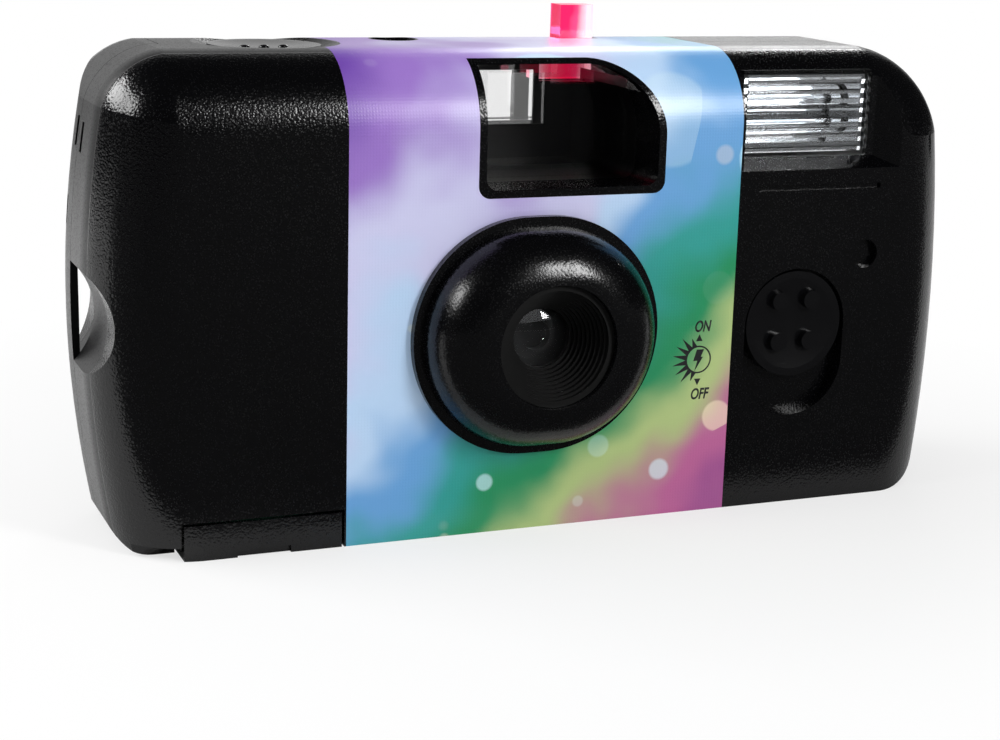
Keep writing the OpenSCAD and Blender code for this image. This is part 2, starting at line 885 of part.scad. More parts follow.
// The label wound round the body, or with an overcut the recess that it lies in
module label_band(over) {
    difference() {
        along_x(label_left, label_right)
            difference() {
                if (over > 0)
                    translate([y_front - over, -over]) square([body_d + 2*over, body_h + 2*over]);
                else
                    body_section(0);
                body_section(label_t);
            }
        along_y(y_front - cut, y_front + front_r + 2) finder_outline(0);
        along_y(y_front - cut, y_inner) lens_oval(neck_r + label_neck_gap);
        disc_z(counter_x, counter_y, counter_r + label_round_gap, z_roof, body_h + cut);
        pipe_opening(label_pipe_gap);
        eye_opening(label_eye_gap);
        disc_z(button_x, button_y, dish_r + label_round_gap, z_roof, body_h + cut);
    }
}

module label_wrap() {
    color([0.55, 0.7, 0.85]) label_band(0);
}

// Front view of an oval: two half circles joined by a short straight stretch
module lens_oval(r) {
    translate([lens_x - oval_half, lens_z - r]) square([2*oval_half, 2*r]);
    for (s = [-1, 1])
        translate([lens_x + s*oval_half, lens_z]) circle(r);
}

// Half section of the ring: x is the radius, y the height over the front face
module ring_profile() {
    square([flange_r, flange_t]);
    square([dome_c, lens_proud]);
    intersection() {
        translate([dome_c, lens_proud - dome_r]) circle(dome_r);
        square([flange_r, lens_proud]);
    }
    square([dome_c + dome_r, lens_proud - dome_r]);
}

module lens_ring() {
    color(black)
    difference() {
        union() {
            translate([lens_x, y_front, lens_z]) {
                for (s = [-1, 1])
                    translate([s*oval_half, 0, 0]) rotate([90, 0, 0]) rotate([0, 0, -90*s])
                        rotate_extrude(angle = 180, $fn = 96) ring_profile();
                rotate([90, 0, 90]) translate([0, 0, -oval_half]) linear_extrude(2*oval_half)
                    for (m = [0, 1]) mirror([0, m]) rotate(90) ring_profile();
            }
            disc_y(lens_x, lens_z, neck_r, y_front - cut, lens_y(neck_back));
        }
        disc_y(lens_x, lens_z, mouth_r, lens_y(lens_proud + cut), lens_y(neck_back - cut));
    }
}

module lens_hood() {
    steps = hood_grooves;
    rise = (hood_t1 - hood_t0 - 0.6)/steps;
    run = (mouth_r - 0.75 - hood_throat_r)/steps;
    color([0.03, 0.03, 0.03])
    translate([lens_x, lens_y(hood_t0), lens_z]) rotate([90, 0, 0])
    difference() {
        cylinder(r = mouth_r - seat_gap, h = hood_t1 - hood_t0);
        translate([0, 0, -cut]) cylinder(r = hood_throat_r, h = lens_proud);
        for (i = [0 : steps - 1])
            translate([0, 0, 0.6 + i*rise])
                cylinder(r = hood_throat_r + (i + 1)*run, h = lens_proud);
    }
}

module taking_lens() {
    color([0.7, 0.75, 0.8, 0.5])
    translate([lens_x, lens_y(lens_back_t), lens_z]) rotate([90, 0, 0])
    difference() {
        union() {
            cylinder(r = lens_r, h = lens_edge_t - lens_back_t);
            intersection() {
                cylinder(r = lens_r, h = lens_sag + 2);
                translate([0, 0, lens_edge_t - lens_back_t + lens_sag - lens_ball_r])
                    sphere(lens_ball_r, $fn = 96);
            }
        }
        // hollow rear face of the meniscus
        translate([0, 0, lens_hollow - lens_hollow_r]) sphere(lens_hollow_r, $fn = 96);
    }
}

module aperture_plate() {
    color([0.06, 0.06, 0.06])
    difference() {
        disc_y(lens_x, lens_z, mouth_r - seat_gap, lens_y(lens_back_t - seat_gap), lens_y(neck_back) - 0.1);
        disc_y(lens_x, lens_z, aperture_r, y_front - cut, y_front + 5);
    }
}

// Rectangle in the plane across the lens axis, from the lens to the gate
module light_cone(grow, y0, y1) {
    hull() {
        block([lens_x - throat_w/2 - grow, y0, lens_z - throat_h/2 - grow],
              [lens_x + throat_w/2 + grow, y0 + 0.01, lens_z + throat_h/2 + grow]);
        block([lens_x - gate_w/2 - grow, y1 - 0.01, lens_z - gate_h/2 - grow],
              [lens_x + gate_w/2 + grow, y1, lens_z + gate_h/2 + grow]);
    }
}

module main_frame() {
    rail_z = gate_h/2 + rail_half;
    color([0.1, 0.1, 0.1])
    difference() {
        union() {
            block([lens_x - plate_half, frame_front_y, lens_z - plate_below],
                  [lens_x + plate_half, frame_front_y + frame_plate_t, lens_z + plate_above]);
            light_cone(gate_wall, frame_front_y + frame_plate_t/2, gate_y);
            // rails above and below the gate
            for (s = [-1, 1])
                block([lens_x - gate_w/2 - rail_w/2, gate_y - rail_d, lens_z + s*rail_z - rail_half],
                      [lens_x + gate_w/2 + rail_w/2, gate_y, lens_z + s*rail_z + rail_half]);
            supply_chamber();
            left_deck();
            disc_y(blade_px, blade_pz, blade_pin_r, blade_y - 0.2, frame_front_y + 0.1);
            drive_post();
        }
        hull() {
            block([lens_x - stop_half, frame_front_y - cut, lens_z - stop_half],
                  [lens_x + stop_half, frame_front_y, lens_z + stop_half]);
            block([lens_x - gate_w/2, gate_y + 0.3, lens_z - gate_h/2],
                  [lens_x + gate_w/2, gate_y + 0.4, lens_z + gate_h/2]);
        }
        disc_z(supply_x, supply_y, chamber_r, film_z0 - film_gap, film_z1 + film_gap);
        block([supply_x - chamber_r, bridge_y1, film_z0 - film_gap],
              [supply_x + 2*chamber_r, y_rear, film_z1 + film_gap]);
        disc_z(sprocket_x, sprocket_y, shaft_r + run_gap, 0, body_h);
        disc_z(sprocket_x, sprocket_y, sprocket_tip_r + air,
               perf_z - sprocket_t/2 - air, perf_z + sprocket_t/2 + air);
    }
}

// Half-round chamber for the supply roll, and its bridge to the light box
module supply_chamber() {
    r = chamber_r + gate_wall;
    gate_x1 = lens_x + gate_w/2;
    bridge_x0 = gate_x1 - 1;
    bridge_x1 = supply_x - 6;
    floor_z = film_z0 - film_gap - chamber_floor;
    roof_z = deck_z + deck_t;
    difference() {
        disc_z(supply_x, supply_y, r, floor_z, roof_z);
        block([supply_x - 2*r, supply_y + chamber_mouth, -cut], [supply_x + 2*r, y_rear, body_h]);
    }
    block([bridge_x0, bridge_y0, floor_z], [bridge_x1, bridge_y1, film_z0 - film_gap]);
    block([bridge_x0, bridge_y0, film_z1 + film_gap], [bridge_x1, bridge_y1, roof_z]);
    // upright where the bridge meets the light box
    block([gate_x1 - 2.2, bridge_y0 - 0.5, floor_z], [gate_x1 + 0.6, bridge_y1, roof_z]);
}

// Deck that carries the sprocket shaft beside the viewfinder
module left_deck() {
    x0 = lens_x - gate_w/2 + 0.4;
    x1 = finder_x0 - 0.6;
    strut_y1 = deck_y0 + strut_d;
    strut_z0 = lens_z + gate_h/2 - 6;
    block([x0, deck_y0, deck_z], [x1, film_y - 1, deck_z + deck_t]);
    // strut down to the light box
    block([x0, deck_y0, strut_z0], [x0 + deck_t, strut_y1, deck_z + deck_t]);
    block([x0, deck_y0, strut_z0], [lens_x - 6, strut_y1, strut_z0 + 3]);
}

// Post on the light box for the drive lever
module drive_post() {
    disc_z(drive_px, drive_py, drive_post_r, drive_post_z0, drive_z0 + 2);
    disc_z(drive_px, drive_py, drive_post_r + drive_collar, drive_post_z0, drive_seat_z);
}

// Flat bar with round ends between two points of the front view
module bar2d(a, b, w) {
    d = b - a;
    translate(a) rotate(atan2(d[1], d[0])) translate([0, -w/2]) square([norm(d), w]);
    translate(a) circle(w/2);
    translate(b) circle(w/2);
}

module shutter_blade() {
    pivot = [blade_px, blade_pz];
    color([0.12, 0.12, 0.13])
    difference() {
        along_y(blade_y, blade_y + blade_t) {
            bar2d(pivot, [lens_x, lens_z], blade_arm_w);
            translate([lens_x, lens_z]) circle(blade_disc_r);
            bar2d(pivot, pivot + blade_tail, blade_tail_w);
        }
        disc_y(blade_px, blade_pz, blade_pin_r + run_gap, blade_y - cut, blade_y + cut);
    }
}

// Points of a wound spring, and the closed tube round them
function coil_point(i, radius, pitch) =
    let (a = 360*i/coil_rings) [radius*cos(a), radius*sin(a), pitch*i/coil_rings];
module coil(turns, radius, pitch, wire_r) {
    n = turns*coil_rings;
    slope = atan2(pitch, 2*PI*radius);
    points = [for (i = [0 : n]) let (a = 360*i/coil_rings, c = coil_point(i, radius, pitch))
        for (j = [0 : coil_sides - 1]) let (b = 360*j/coil_sides, u = wire_r*cos(b), v = wire_r*sin(b))
            c + [u*cos(a) + v*sin(slope)*sin(a), u*sin(a) - v*sin(slope)*cos(a), v*cos(slope)]];
    side_faces = [for (i = [0 : n - 1]) for (j = [0 : coil_sides - 1])
        let (k = (j + 1)%coil_sides, p = i*coil_sides, q = p + coil_sides)
            each [[p + j, q + j, q + k], [p + j, q + k, p + k]]];
    end_faces = [for (j = [1 : coil_sides - 2])
        each [[0, j, j + 1], [n*coil_sides, n*coil_sides + j + 1, n*coil_sides + j]]];
    echo(coil_gap = pitch*cos(slope) - 2*wire_r);
    polyhedron(points, concat(side_faces, end_faces));
}

module blade_spring() {
    color("silver")
    translate([lens_x - 7, frame_front_y + frame_plate_t + 0.6, lens_z + 9.3]) rotate([0, 90, 0])
        coil(blade_spring_turns, blade_spring_core + spring_wire_r, spring_pitch, spring_wire_r);
}

module drive_lever() {
    color("silver")
    difference() {
        translate([drive_px, drive_py, drive_z0])
            linear_extrude(drive_t) {
                circle(drive_hub_r);
                // arm that strikes the blade, and arm that the film's advance cocks
                bar2d([0, 0], [1.2, -6], 1.6);
                bar2d([0, 0], [-7, 3], 1.8);
            }
        disc_z(drive_px, drive_py, drive_post_r + run_gap, drive_z0 - cut, drive_z0 + drive_t + cut);
    }
}

module drive_spring() {
    color("silver")
    translate([drive_px, drive_py, drive_seat_z + spring_wire_r + spring_gap])
        coil(drive_spring_turns, drive_spring_core + spring_wire_r, spring_pitch, spring_wire_r);
}

module release_lever() {
    color("silver")
    difference() {
        union() {
            block([lever_px - lever_half, lever_py, lever_z - lever_t/2],
                  [lever_px + lever_half, button_y + lever_over, lever_z + lever_t/2]);
            lever_pin(lever_pin_r, lever_pin_over);
        }
        // lightening slot
        block([lever_px - lever_half/3, lever_py + lever_over, lever_z - cut],
              [lever_px + lever_half/3, button_y - lever_over, lever_z + cut]);
    }
}

module shutter_button() {
    cap_z0 = z_roof - 0.7;
    stem_z0 = lever_z + lever_t/2 + 0.1;
    color([0.07, 0.07, 0.075])
    difference() {
        union() {
            disc_z(button_x, button_y, button_r, cap_z0, button_top);
            disc_z(button_x, button_y, collar_r, cap_z0 - 0.3, cap_z0 + 0.1);
            disc_z(button_x, button_y, button_stem_r, stem_z0, cap_z0);
            for (i = [-1 : 1])
                translate([button_x + pip_pitch*i, button_y + pip_back, button_top - pip_sunk])
                    sphere(pip_r);
        }
        // dished top
        translate([button_x, button_y, button_top + button_hollow_r - button_hollow])
            sphere(button_hollow_r, $fn = 128);
    }
}

module sprocket_wheel() {
    z0 = perf_z - sprocket_t/2;
    color([0.85, 0.85, 0.82]) {
        disc_z(sprocket_x, sprocket_y, sprocket_pitch_r - 1.3, z0, z0 + sprocket_t);
        for (i = [0 : sprocket_teeth - 1])
            translate([sprocket_x, sprocket_y, z0 + sprocket_t/2]) rotate((i + 0.5)*360/sprocket_teeth)
                translate([0, -tooth_w/2, -tooth_w/2]) cube([sprocket_tip_r, tooth_w, tooth_w]);
        disc_z(sprocket_x, sprocket_y, shaft_r, z0, dial_z0 - air - 0.8);
        disc_z(sprocket_x, sprocket_y, shaft_r + 0.9, deck_z + deck_t + 0.1, deck_z + deck_t + 1.1);
    }
}

module counter_dial() {
    teeth = 40;
    notch_r = 0.22;
    color([0.92, 0.92, 0.9])
    difference() {
        disc_z(dial_x, dial_y, dial_r, dial_z0, dial_z0 + dial_t);
        disc_z(dial_x, dial_y, dial_post_r + run_gap, dial_z0 - cut, dial_z0 + 2);
        for (i = [0 : teeth - 1])
            translate([dial_x, dial_y, dial_z0 - cut]) rotate(i*360/teeth)
                translate([dial_r, 0, 0]) cylinder(r = notch_r, h = dial_t + 2*cut, $fn = 8);
    }
}

module counter_window() {
    color([0.8, 0.85, 0.9, 0.5])
        disc_z(counter_x, counter_y, counter_r - seat_gap, z_roof, body_h - 0.5);
}

module thumb_wheel() {
    fork_r = spool_bore_r - run_gap;
    fork_l = 4;
    fork_slot = 1.6;
    notch_r = 0.55;
    rim_w = 2.4;
    color(black)
    difference() {
        union() {
            disc_z(cart_x, cart_y, wheel_r, wheel_z0, wheel_z1);
            disc_z(cart_x, cart_y, fork_r, cart_z1 - fork_l, wheel_z0);
        }
        for (i = [0 : wheel_notches - 1])
            translate([cart_x, cart_y, wheel_z0 - cut]) rotate((i + 0.5)*360/wheel_notches)
                translate([wheel_r + 0.2, 0, 0]) cylinder(r = notch_r, h = wheel_t + 2*cut, $fn = 24);
        // slot of the fork that drives the spool
        block([cart_x - fork_slot/2, cart_y - 2*fork_r, 0],
              [cart_x + fork_slot/2, cart_y + 2*fork_r, cart_z1 - 0.5]);
        disc_z(cart_x, cart_y, wheel_r - rim_w, wheel_z1 - 0.8, wheel_z1 + cut);
    }
}

module cartridge_shell() {
    z0 = cart_z0 + cap_t;
    z1 = cart_z1 - cap_t;
    lip_y0 = film_y - cart_y - lip_below;
    lip_y1 = film_y - cart_y + lip_above;
    color([0.15, 0.45, 0.3])
    difference() {
        union() {
            disc_z(cart_x, cart_y, cart_r, z0, z1);
            // film exit lip
            translate([cart_x, cart_y, z0]) block([0, lip_y0, 0], [lip_l, lip_y1, z1 - z0]);
        }
        disc_z(cart_x, cart_y, cart_r - can_t, z0 - cut, z1 + cut);
        translate([cart_x, cart_y, z0 - cut])
            block([0, lip_y0 + lip_wall_below, 0], [lip_l + cut, lip_y1 - lip_wall_above, z1 - z0 + 2*cut]);
    }
}

module cartridge_cap(z0, z1) {
    color([0.12, 0.12, 0.12])
    difference() {
        disc_z(cart_x, cart_y, cap_r, z0, z1);
        disc_z(cart_x, cart_y, spool_r + 0.1, z0 - cut, z1 + cut);
    }
}

module cartridge_top_cap() {
    cartridge_cap(cart_z1 - cap_t, cart_z1);
}

module cartridge_bottom_cap() {
    cartridge_cap(cart_z0, cart_z0 + cap_t);
}

module cartridge_spool() {
    z0 = cart_z0 + 0.1;
    color([0.05, 0.05, 0.05])
    difference() {
        union() {
            disc_z(cart_x, cart_y, spool_r, z0, cart_z1 - 0.1);
            for (z = [film_z0 - film_gap - spool_flange_t, film_z1 + film_gap])
                disc_z(cart_x, cart_y, cart_r - 2*can_t, z, z + spool_flange_t);
        }
        difference() {
            disc_z(cart_x, cart_y, spool_bore_r, z0 - cut, cart_z1 + cut);
            // key bar across the bore
            block([cart_x - 0.7, cart_y - 4, cart_z1 - 3.6], [cart_x + 0.7, cart_y + 4, cart_z1 - 0.6]);
        }
    }
}

module film_strip() {
    x0 = cart_x + 2.5;
    x1 = supply_x;
    end_margin = 1.5;
    first = ceil((x0 + end_margin - lens_x)/perf_pitch);
    last = floor((x1 - end_margin - lens_x)/perf_pitch);
    color([0.35, 0.25, 0.2])
    difference() {
        block([x0, film_y, film_z0], [x1, film_y + film_t, film_z1]);
        for (i = [first : last], z = [film_z0 + perf_edge, film_z1 - perf_edge - perf_h])
            translate([lens_x + i*perf_pitch, film_y, z])
                block([-perf_w/2, -cut, 0], [perf_w/2, cut, perf_h]);
    }
}

module supply_roll() {
    color([0.3, 0.22, 0.18])
        disc_z(supply_x, supply_y, roll_r, film_z0, film_z1);
}

module film_door() {
    color(black)
    difference() {
        union() {
            intersection() {
                body_solid(0);
                union() {
                    block([door_x0, y_front, 0], [door_x1, door_y1, door_t]);
                    block([door_x0, y_front, 0], [door_x1, y_inner, door_skirt]);
                }
            }
            for (y = barrel_ys) {
                disc_y(hinge_x, hinge_z, barrel_r, y, y + barrel_l);
                block([hinge_x, y, hinge_z - barrel_r], [door_x0 + 0.6, y + barrel_l, door_t]);
            }
        }
        disc_y(hinge_x, hinge_z, hinge_pin_r + run_gap, -body_d, body_d);
        disc_z(cart_x, cart_y, pocket_r, door_t, body_h);
        // finger notch in the skirt
        translate([(door_x0 + door_x1)/2, y_front, 0]) block([-3, -cut, -cut], [3, 0.5, 0.8]);
    }
}

module door_hinge_pin() {
    color("silver")
        disc_y(hinge_x, hinge_z, hinge_pin_r, pin_y0, pin_y1);
}

module finder_front_lens() {
    color([0.8, 0.85, 0.9, 0.4])
        along_y(y_front + front_r, y_front + front_r + 1) finder_outline(finder_rim + seat_gap);
}

module finder_eyepiece() {
    color([0.8, 0.85, 0.9, 0.4])
        block([eye_x - eye_w/2 + seat_gap, finder_back_y - finder_t, eye_z - eye_h/2 + seat_gap],
              [eye_x + eye_w/2 - seat_gap, finder_back_y + 0.8, eye_z + eye_h/2 - seat_gap]);
}

module flash_window() {
    ribs = 8;
    rib = flash_h/ribs;
    color([0.9, 0.92, 0.95, 0.4]) {
        block([flash_x0 - window_lip, flash_y, flash_z0 - window_lip],
              [flash_x1 + window_lip, flash_y + window_t, flash_z1 + window_lip]);
        for (i = [0 : ribs - 1])
            along_x(flash_x0, flash_x1)
                polygon([[flash_y + 0.01, flash_z0 + i*rib],
                         [flash_y - window_rib_h, flash_z0 + (i + 0.5)*rib],
                         [flash_y + 0.01, flash_z0 + (i + 1)*rib]]);
    }
}

// Trough with a round back, open to the front
module trough(grow) {
    r = flash_h/2 - reflector_gap + grow;
    translate([reflector_y, tube_z - r]) square([reflector_d - r, 2*r]);
    intersection() {
        translate([reflector_y + reflector_d - r, tube_z]) circle(r);
        translate([reflector_y, tube_z - r]) square([reflector_d, 2*r]);
    }
}

module flash_reflector() {
    edge = reflector_gap + reflector_t;
    color("silver")
    difference() {
        along_x(flash_x0, flash_x1) trough(0);
        along_x(flash_x0 + reflector_t, flash_x1 - reflector_t)
            union() {
                translate([-reflector_t, 0]) trough(-reflector_t);
                translate([reflector_y - cut, flash_z0 + edge]) square([2*cut, flash_h - 2*edge]);
            }
        tube_rod(tube_r + tube_gap, tube_over + cut);
    }
}

// A rod along the tube's axis that stands out of both ends of the reflector
module tube_rod(r, over) {
    translate([flash_x0 - over, tube_y, tube_z]) rotate([0, 90, 0])
        cylinder(r = r, h = flash_w + 2*over);
}

module flash_tube() {
    color([0.85, 0.9, 1, 0.6]) tube_rod(tube_r, tube_over);
}

module flash_switch() {
    plate_y = switch_floor_y - 0.1;
    face_y = plate_y - switch_plate_t;
    color([0.06, 0.06, 0.065]) {
        difference() {
            disc_y(switch_x, switch_z, switch_r, face_y, plate_y);
            // dished face
            translate([switch_x, face_y + switch_hollow - switch_hollow_r, switch_z])
                sphere(switch_hollow_r, $fn = 128);
        }
        for (sx = [-1, 1], sz = [-1, 1])
            disc_y(switch_x + stud_x*sx, switch_z + stud_up + stud_z*sz, stud_r,
                   face_y - stud_rise, plate_y - 0.2);
        disc_y(switch_x, switch_z, switch_stem_r, plate_y - 0.5, arm_y0);
    }
}

module switch_arm() {
    color([0.8, 0.8, 0.78]) {
        block([leg_x0, arm_y0, switch_z - 3], [switch_x + 1.8, arm_y0 + arm_t, switch_z + 3]);
        block([leg_x0, arm_y0, switch_z - 3], [leg_x0 + leg_w, arm_y0 + arm_t, bar_z0 + bar_h]);
        block([leg_x0, arm_y0, bar_z0], [leg_x0 + bar_w, pipe_y0 + pipe_d, bar_z0 + bar_h]);
        block([pipe_x1, pipe_y0, bar_z0], [leg_x0 + bar_w, pipe_y0 + pipe_d, pipe_z0 + pipe_foot_h]);
    }
}

module light_pipe() {
    color([1, 0.3, 0.5, 0.6]) {
        block([pipe_x0, pipe_y0, pipe_z0], [pipe_x1, pipe_y0 + pipe_d, pipe_top]);
        block([pipe_x1 - pipe_foot_w, pipe_y0, pipe_z0],
              [pipe_x1, pipe_y0 + pipe_d, pipe_z0 + pipe_foot_h]);
    }
}

module circuit_board() {
    color([0.55, 0.4, 0.2])
        block([board_x0, board_y, board_z0], [board_x1, board_y + board_t, board_z1]);
}

module flash_capacitor() {
    color([0.1, 0.1, 0.12])
        translate([cap_can_x0, cap_can_y, wall + cap_can_r + seat_gap]) rotate([0, 90, 0])
            cylinder(r = cap_can_r, h = cap_can_h);
}

module trigger_transformer() {
    color([0.7, 0.6, 0.2])
        translate([board_x0 + 1.5, board_y + board_t, transformer_z0]) cube(transformer);
}

module neon_lamp() {
    z0 = deck_z + 0.4;
    color([1, 0.6, 0.4])
        disc_z(pipe_x0 - lamp_r, finder_back_y + lamp_r + seat_gap, lamp_r, z0, z0 + lamp_h);
}

module battery_cell() {
    color([0.15, 0.2, 0.5]) {
        disc_z(cell_x, cell_y, cell_r, cell_z0, cell_z0 + cell_h);
        disc_z(cell_x, cell_y, cell_button_r, cell_z0, cell_z0 + cell_h + button_rise);
    }
}

module contact_plus() {
    color("silver")
        block([cell_x - contact_half, cell_y - contact_half, cell_z0 + cell_h + button_rise],
              [cell_x + contact_half, cell_y + contact_half, cell_z0 + cell_h + button_rise + contact_t]);
}

module contact_minus() {
    color("silver")
        block([cell_x - contact_half, cell_y - contact_half, wall],
              [cell_x + contact_half, cell_y + contact_half, cell_z0]);
}

front_cover();
rear_cover();
label_wrap();
lens_ring();
lens_hood();
taking_lens();
aperture_plate();
main_frame();
shutter_blade();
blade_spring();
drive_lever();
drive_spring();
release_lever();
shutter_button();
sprocket_wheel();
counter_dial();
counter_window();
thumb_wheel();
cartridge_shell();
cartridge_top_cap();
cartridge_bottom_cap();
cartridge_spool();
film_strip();
supply_roll();
film_door();
door_hinge_pin();
finder_front_lens();
finder_eyepiece();
flash_window();
flash_reflector();
flash_tube();
flash_switch();
switch_arm();
light_pipe();
neon_lamp();
circuit_board();
flash_capacitor();
trigger_transformer();
battery_cell();
contact_plus();
contact_minus();
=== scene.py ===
"""Looks of a single-use film camera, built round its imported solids."""

import logging
import math
from dataclasses import dataclass, field
from enum import Enum
from typing import ClassVar

import bmesh
import bpy
from mathutils import Matrix, Vector


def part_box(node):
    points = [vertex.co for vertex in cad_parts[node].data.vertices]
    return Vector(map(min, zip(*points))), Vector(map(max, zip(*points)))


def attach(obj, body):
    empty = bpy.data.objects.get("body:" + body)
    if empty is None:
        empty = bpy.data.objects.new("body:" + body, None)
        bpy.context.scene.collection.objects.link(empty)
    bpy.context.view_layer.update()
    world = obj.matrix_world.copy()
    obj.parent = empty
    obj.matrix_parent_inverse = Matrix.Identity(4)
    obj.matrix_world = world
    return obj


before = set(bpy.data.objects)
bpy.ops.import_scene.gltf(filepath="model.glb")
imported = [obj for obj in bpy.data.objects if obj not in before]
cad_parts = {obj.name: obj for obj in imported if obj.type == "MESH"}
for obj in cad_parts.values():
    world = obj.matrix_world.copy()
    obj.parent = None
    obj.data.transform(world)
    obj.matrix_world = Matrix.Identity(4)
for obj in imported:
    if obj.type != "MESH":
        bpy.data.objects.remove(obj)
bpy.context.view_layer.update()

LOG = logging.getLogger("camera")
MM = 0.001
# Corners of a letter's outline that lie closer than this are one
LETTER_MERGE = 0.002 * MM
Pair = tuple[float, float]
Triple = tuple[float, float, float]
Colour = Triple
Socket = bpy.types.NodeSocket


class Ray(Enum):
    """Kinds of ray that the studio tells apart."""

    CAMERA = "Is Camera Ray"
    GLOSSY = "Is Glossy Ray"
    TRANSMISSION = "Is Transmission Ray"


class Side(Enum):
    """Which way a mark on the label points."""

    UP = 1
    DOWN = -1


@dataclass
class Graph:
    """A node tree with short ways to add nodes and join them."""

    tree: bpy.types.NodeTree

    def add(self, kind: str, **settings: object) -> bpy.types.Node:
        """Adds a node.

        Args:
            kind: the node's type name without its prefix.
            settings: attributes of the node.
        Returns:
            The new node.
        """
        node = self.tree.nodes.new("ShaderNode" + kind)
        for key, value in settings.items():
            setattr(node, key, value)
        return node

    def join(self, source: Socket, target: Socket) -> None:
        """Links one socket to another.

        Args:
            source: the output.
            target: the input.
        """
        self.tree.links.new(source, target)

    def feed(self, target: Socket, value: object) -> None:
        """Sets a socket to a number, or links it when the value is a socket.

        Args:
            target: the input.
            value: a number, a colour or a socket.
        """
        if isinstance(value, bpy.types.NodeSocket):
            self.join(value, target)
        else:
            target.default_value = value

    def math(self, operation: str, a: object, b: object = 0.0, clamp: bool = False) -> Socket:
        """Adds a math node.

        Args:
            operation: name of the operation.
            a: first number or socket.
            b: second number or socket.
            clamp: whether the result is kept within 0 and 1.
        Returns:
            The result.
        """
        node = self.add("Math", operation=operation, use_clamp=clamp)
        self.feed(node.inputs[0], a)
        self.feed(node.inputs[1], b)
        return node.outputs[0]

    def span(self, value: Socket, low: float, high: float, to_low: float, to_high: float) -> Socket:
        """Maps a value from one range onto another and clamps it.

        Args:
            value: the value to map.
            low: start of its range.
            high: end of its range.
            to_low: result at the start.
            to_high: result at the end.
        Returns:
            The mapped value.
        """
        node = self.add("MapRange")
        self.join(value, node.inputs["Value"])
        limits = {"From Min": low, "From Max": high, "To Min": to_low, "To Max": to_high}
        for key, number in limits.items():
            node.inputs[key].default_value = number
        return node.outputs["Result"]

    def blend(self, factor: object, a: object, b: object, mode: str = "MIX") -> Socket:
        """Mixes two colours.

        Args:
            factor: share of the second colour.
            a: first colour.
            b: second colour.
            mode: how they are mixed.
        Returns:
            The mixed colour.
        """
        node = self.add("Mix", data_type="RGBA", blend_type=mode)
        self.feed(node.inputs["Factor"], factor)
        for socket, value in ((node.inputs[6], a), (node.inputs[7], b)):
            self.feed(socket, value if isinstance(value, bpy.types.NodeSocket) else (*value, 1.0))
        return node.outputs[2]

    def ramp(self, value: Socket, stops: list[tuple[float, Colour]], smooth: str = "LINEAR") -> Socket:
        """Turns a value into a colour.

        Args:
            value: the value from 0 to 1.
            stops: positions and their colours.
            smooth: interpolation between the stops.
        Returns:
            The colour.
        """
        node = self.add("ValToRGB")
        node.color_ramp.interpolation = smooth
        elements = node.color_ramp.elements
        while len(elements) < len(stops):
            elements.new(1.0)
        for element, (position, colour) in zip(elements, stops):
            element.position = position
            element.color = (*colour, 1.0)
        self.join(value, node.inputs[0])
        return node.outputs[0]

    def noise(self, coords: Socket, scale: object, detail: float = 2.0) -> Socket:
        """Adds a noise texture and returns its value.

        Args:
            coords: where it is looked up.
            scale: its fineness.
            detail: number of finer layers.
        Returns:
            The noise, from 0 to 1.
        """
        node = self.add("TexNoise")
        self.join(coords, node.inputs["Vector"])
        self.feed(node.inputs["Scale"], scale)
        node.inputs["Detail"].default_value = detail
        return node.outputs[0]

    def place(self) -> Socket:
        """Returns the object coordinates."""
        return self.add("TexCoord").outputs["Object"]

    def axes(self, vector: Socket) -> bpy.types.NodeOutputs:
        """Returns the X, Y and Z of a vector.

        Args:
            vector: the vector.
        Returns:
            Its parts by name.
        """
        node = self.add("SeparateXYZ")
        self.join(vector, node.inputs[0])
        return node.outputs

    def product(self, a: object, *others: object) -> Socket:
        """Multiplies numbers and sockets.

        Args:
            a: first factor.
            others: the other factors.
        Returns:
            The product.
        """
        result = a
        for other in others:
            result = self.math("MULTIPLY", result, other)
        return result

    def total(self, a: object, *others: object) -> Socket:
        """Adds numbers and sockets.

        Args:
            a: first number.
            others: the other numbers.
        Returns:
            The sum.
        """
        result = a
        for other in others:
            result = self.math("ADD", result, other)
        return result


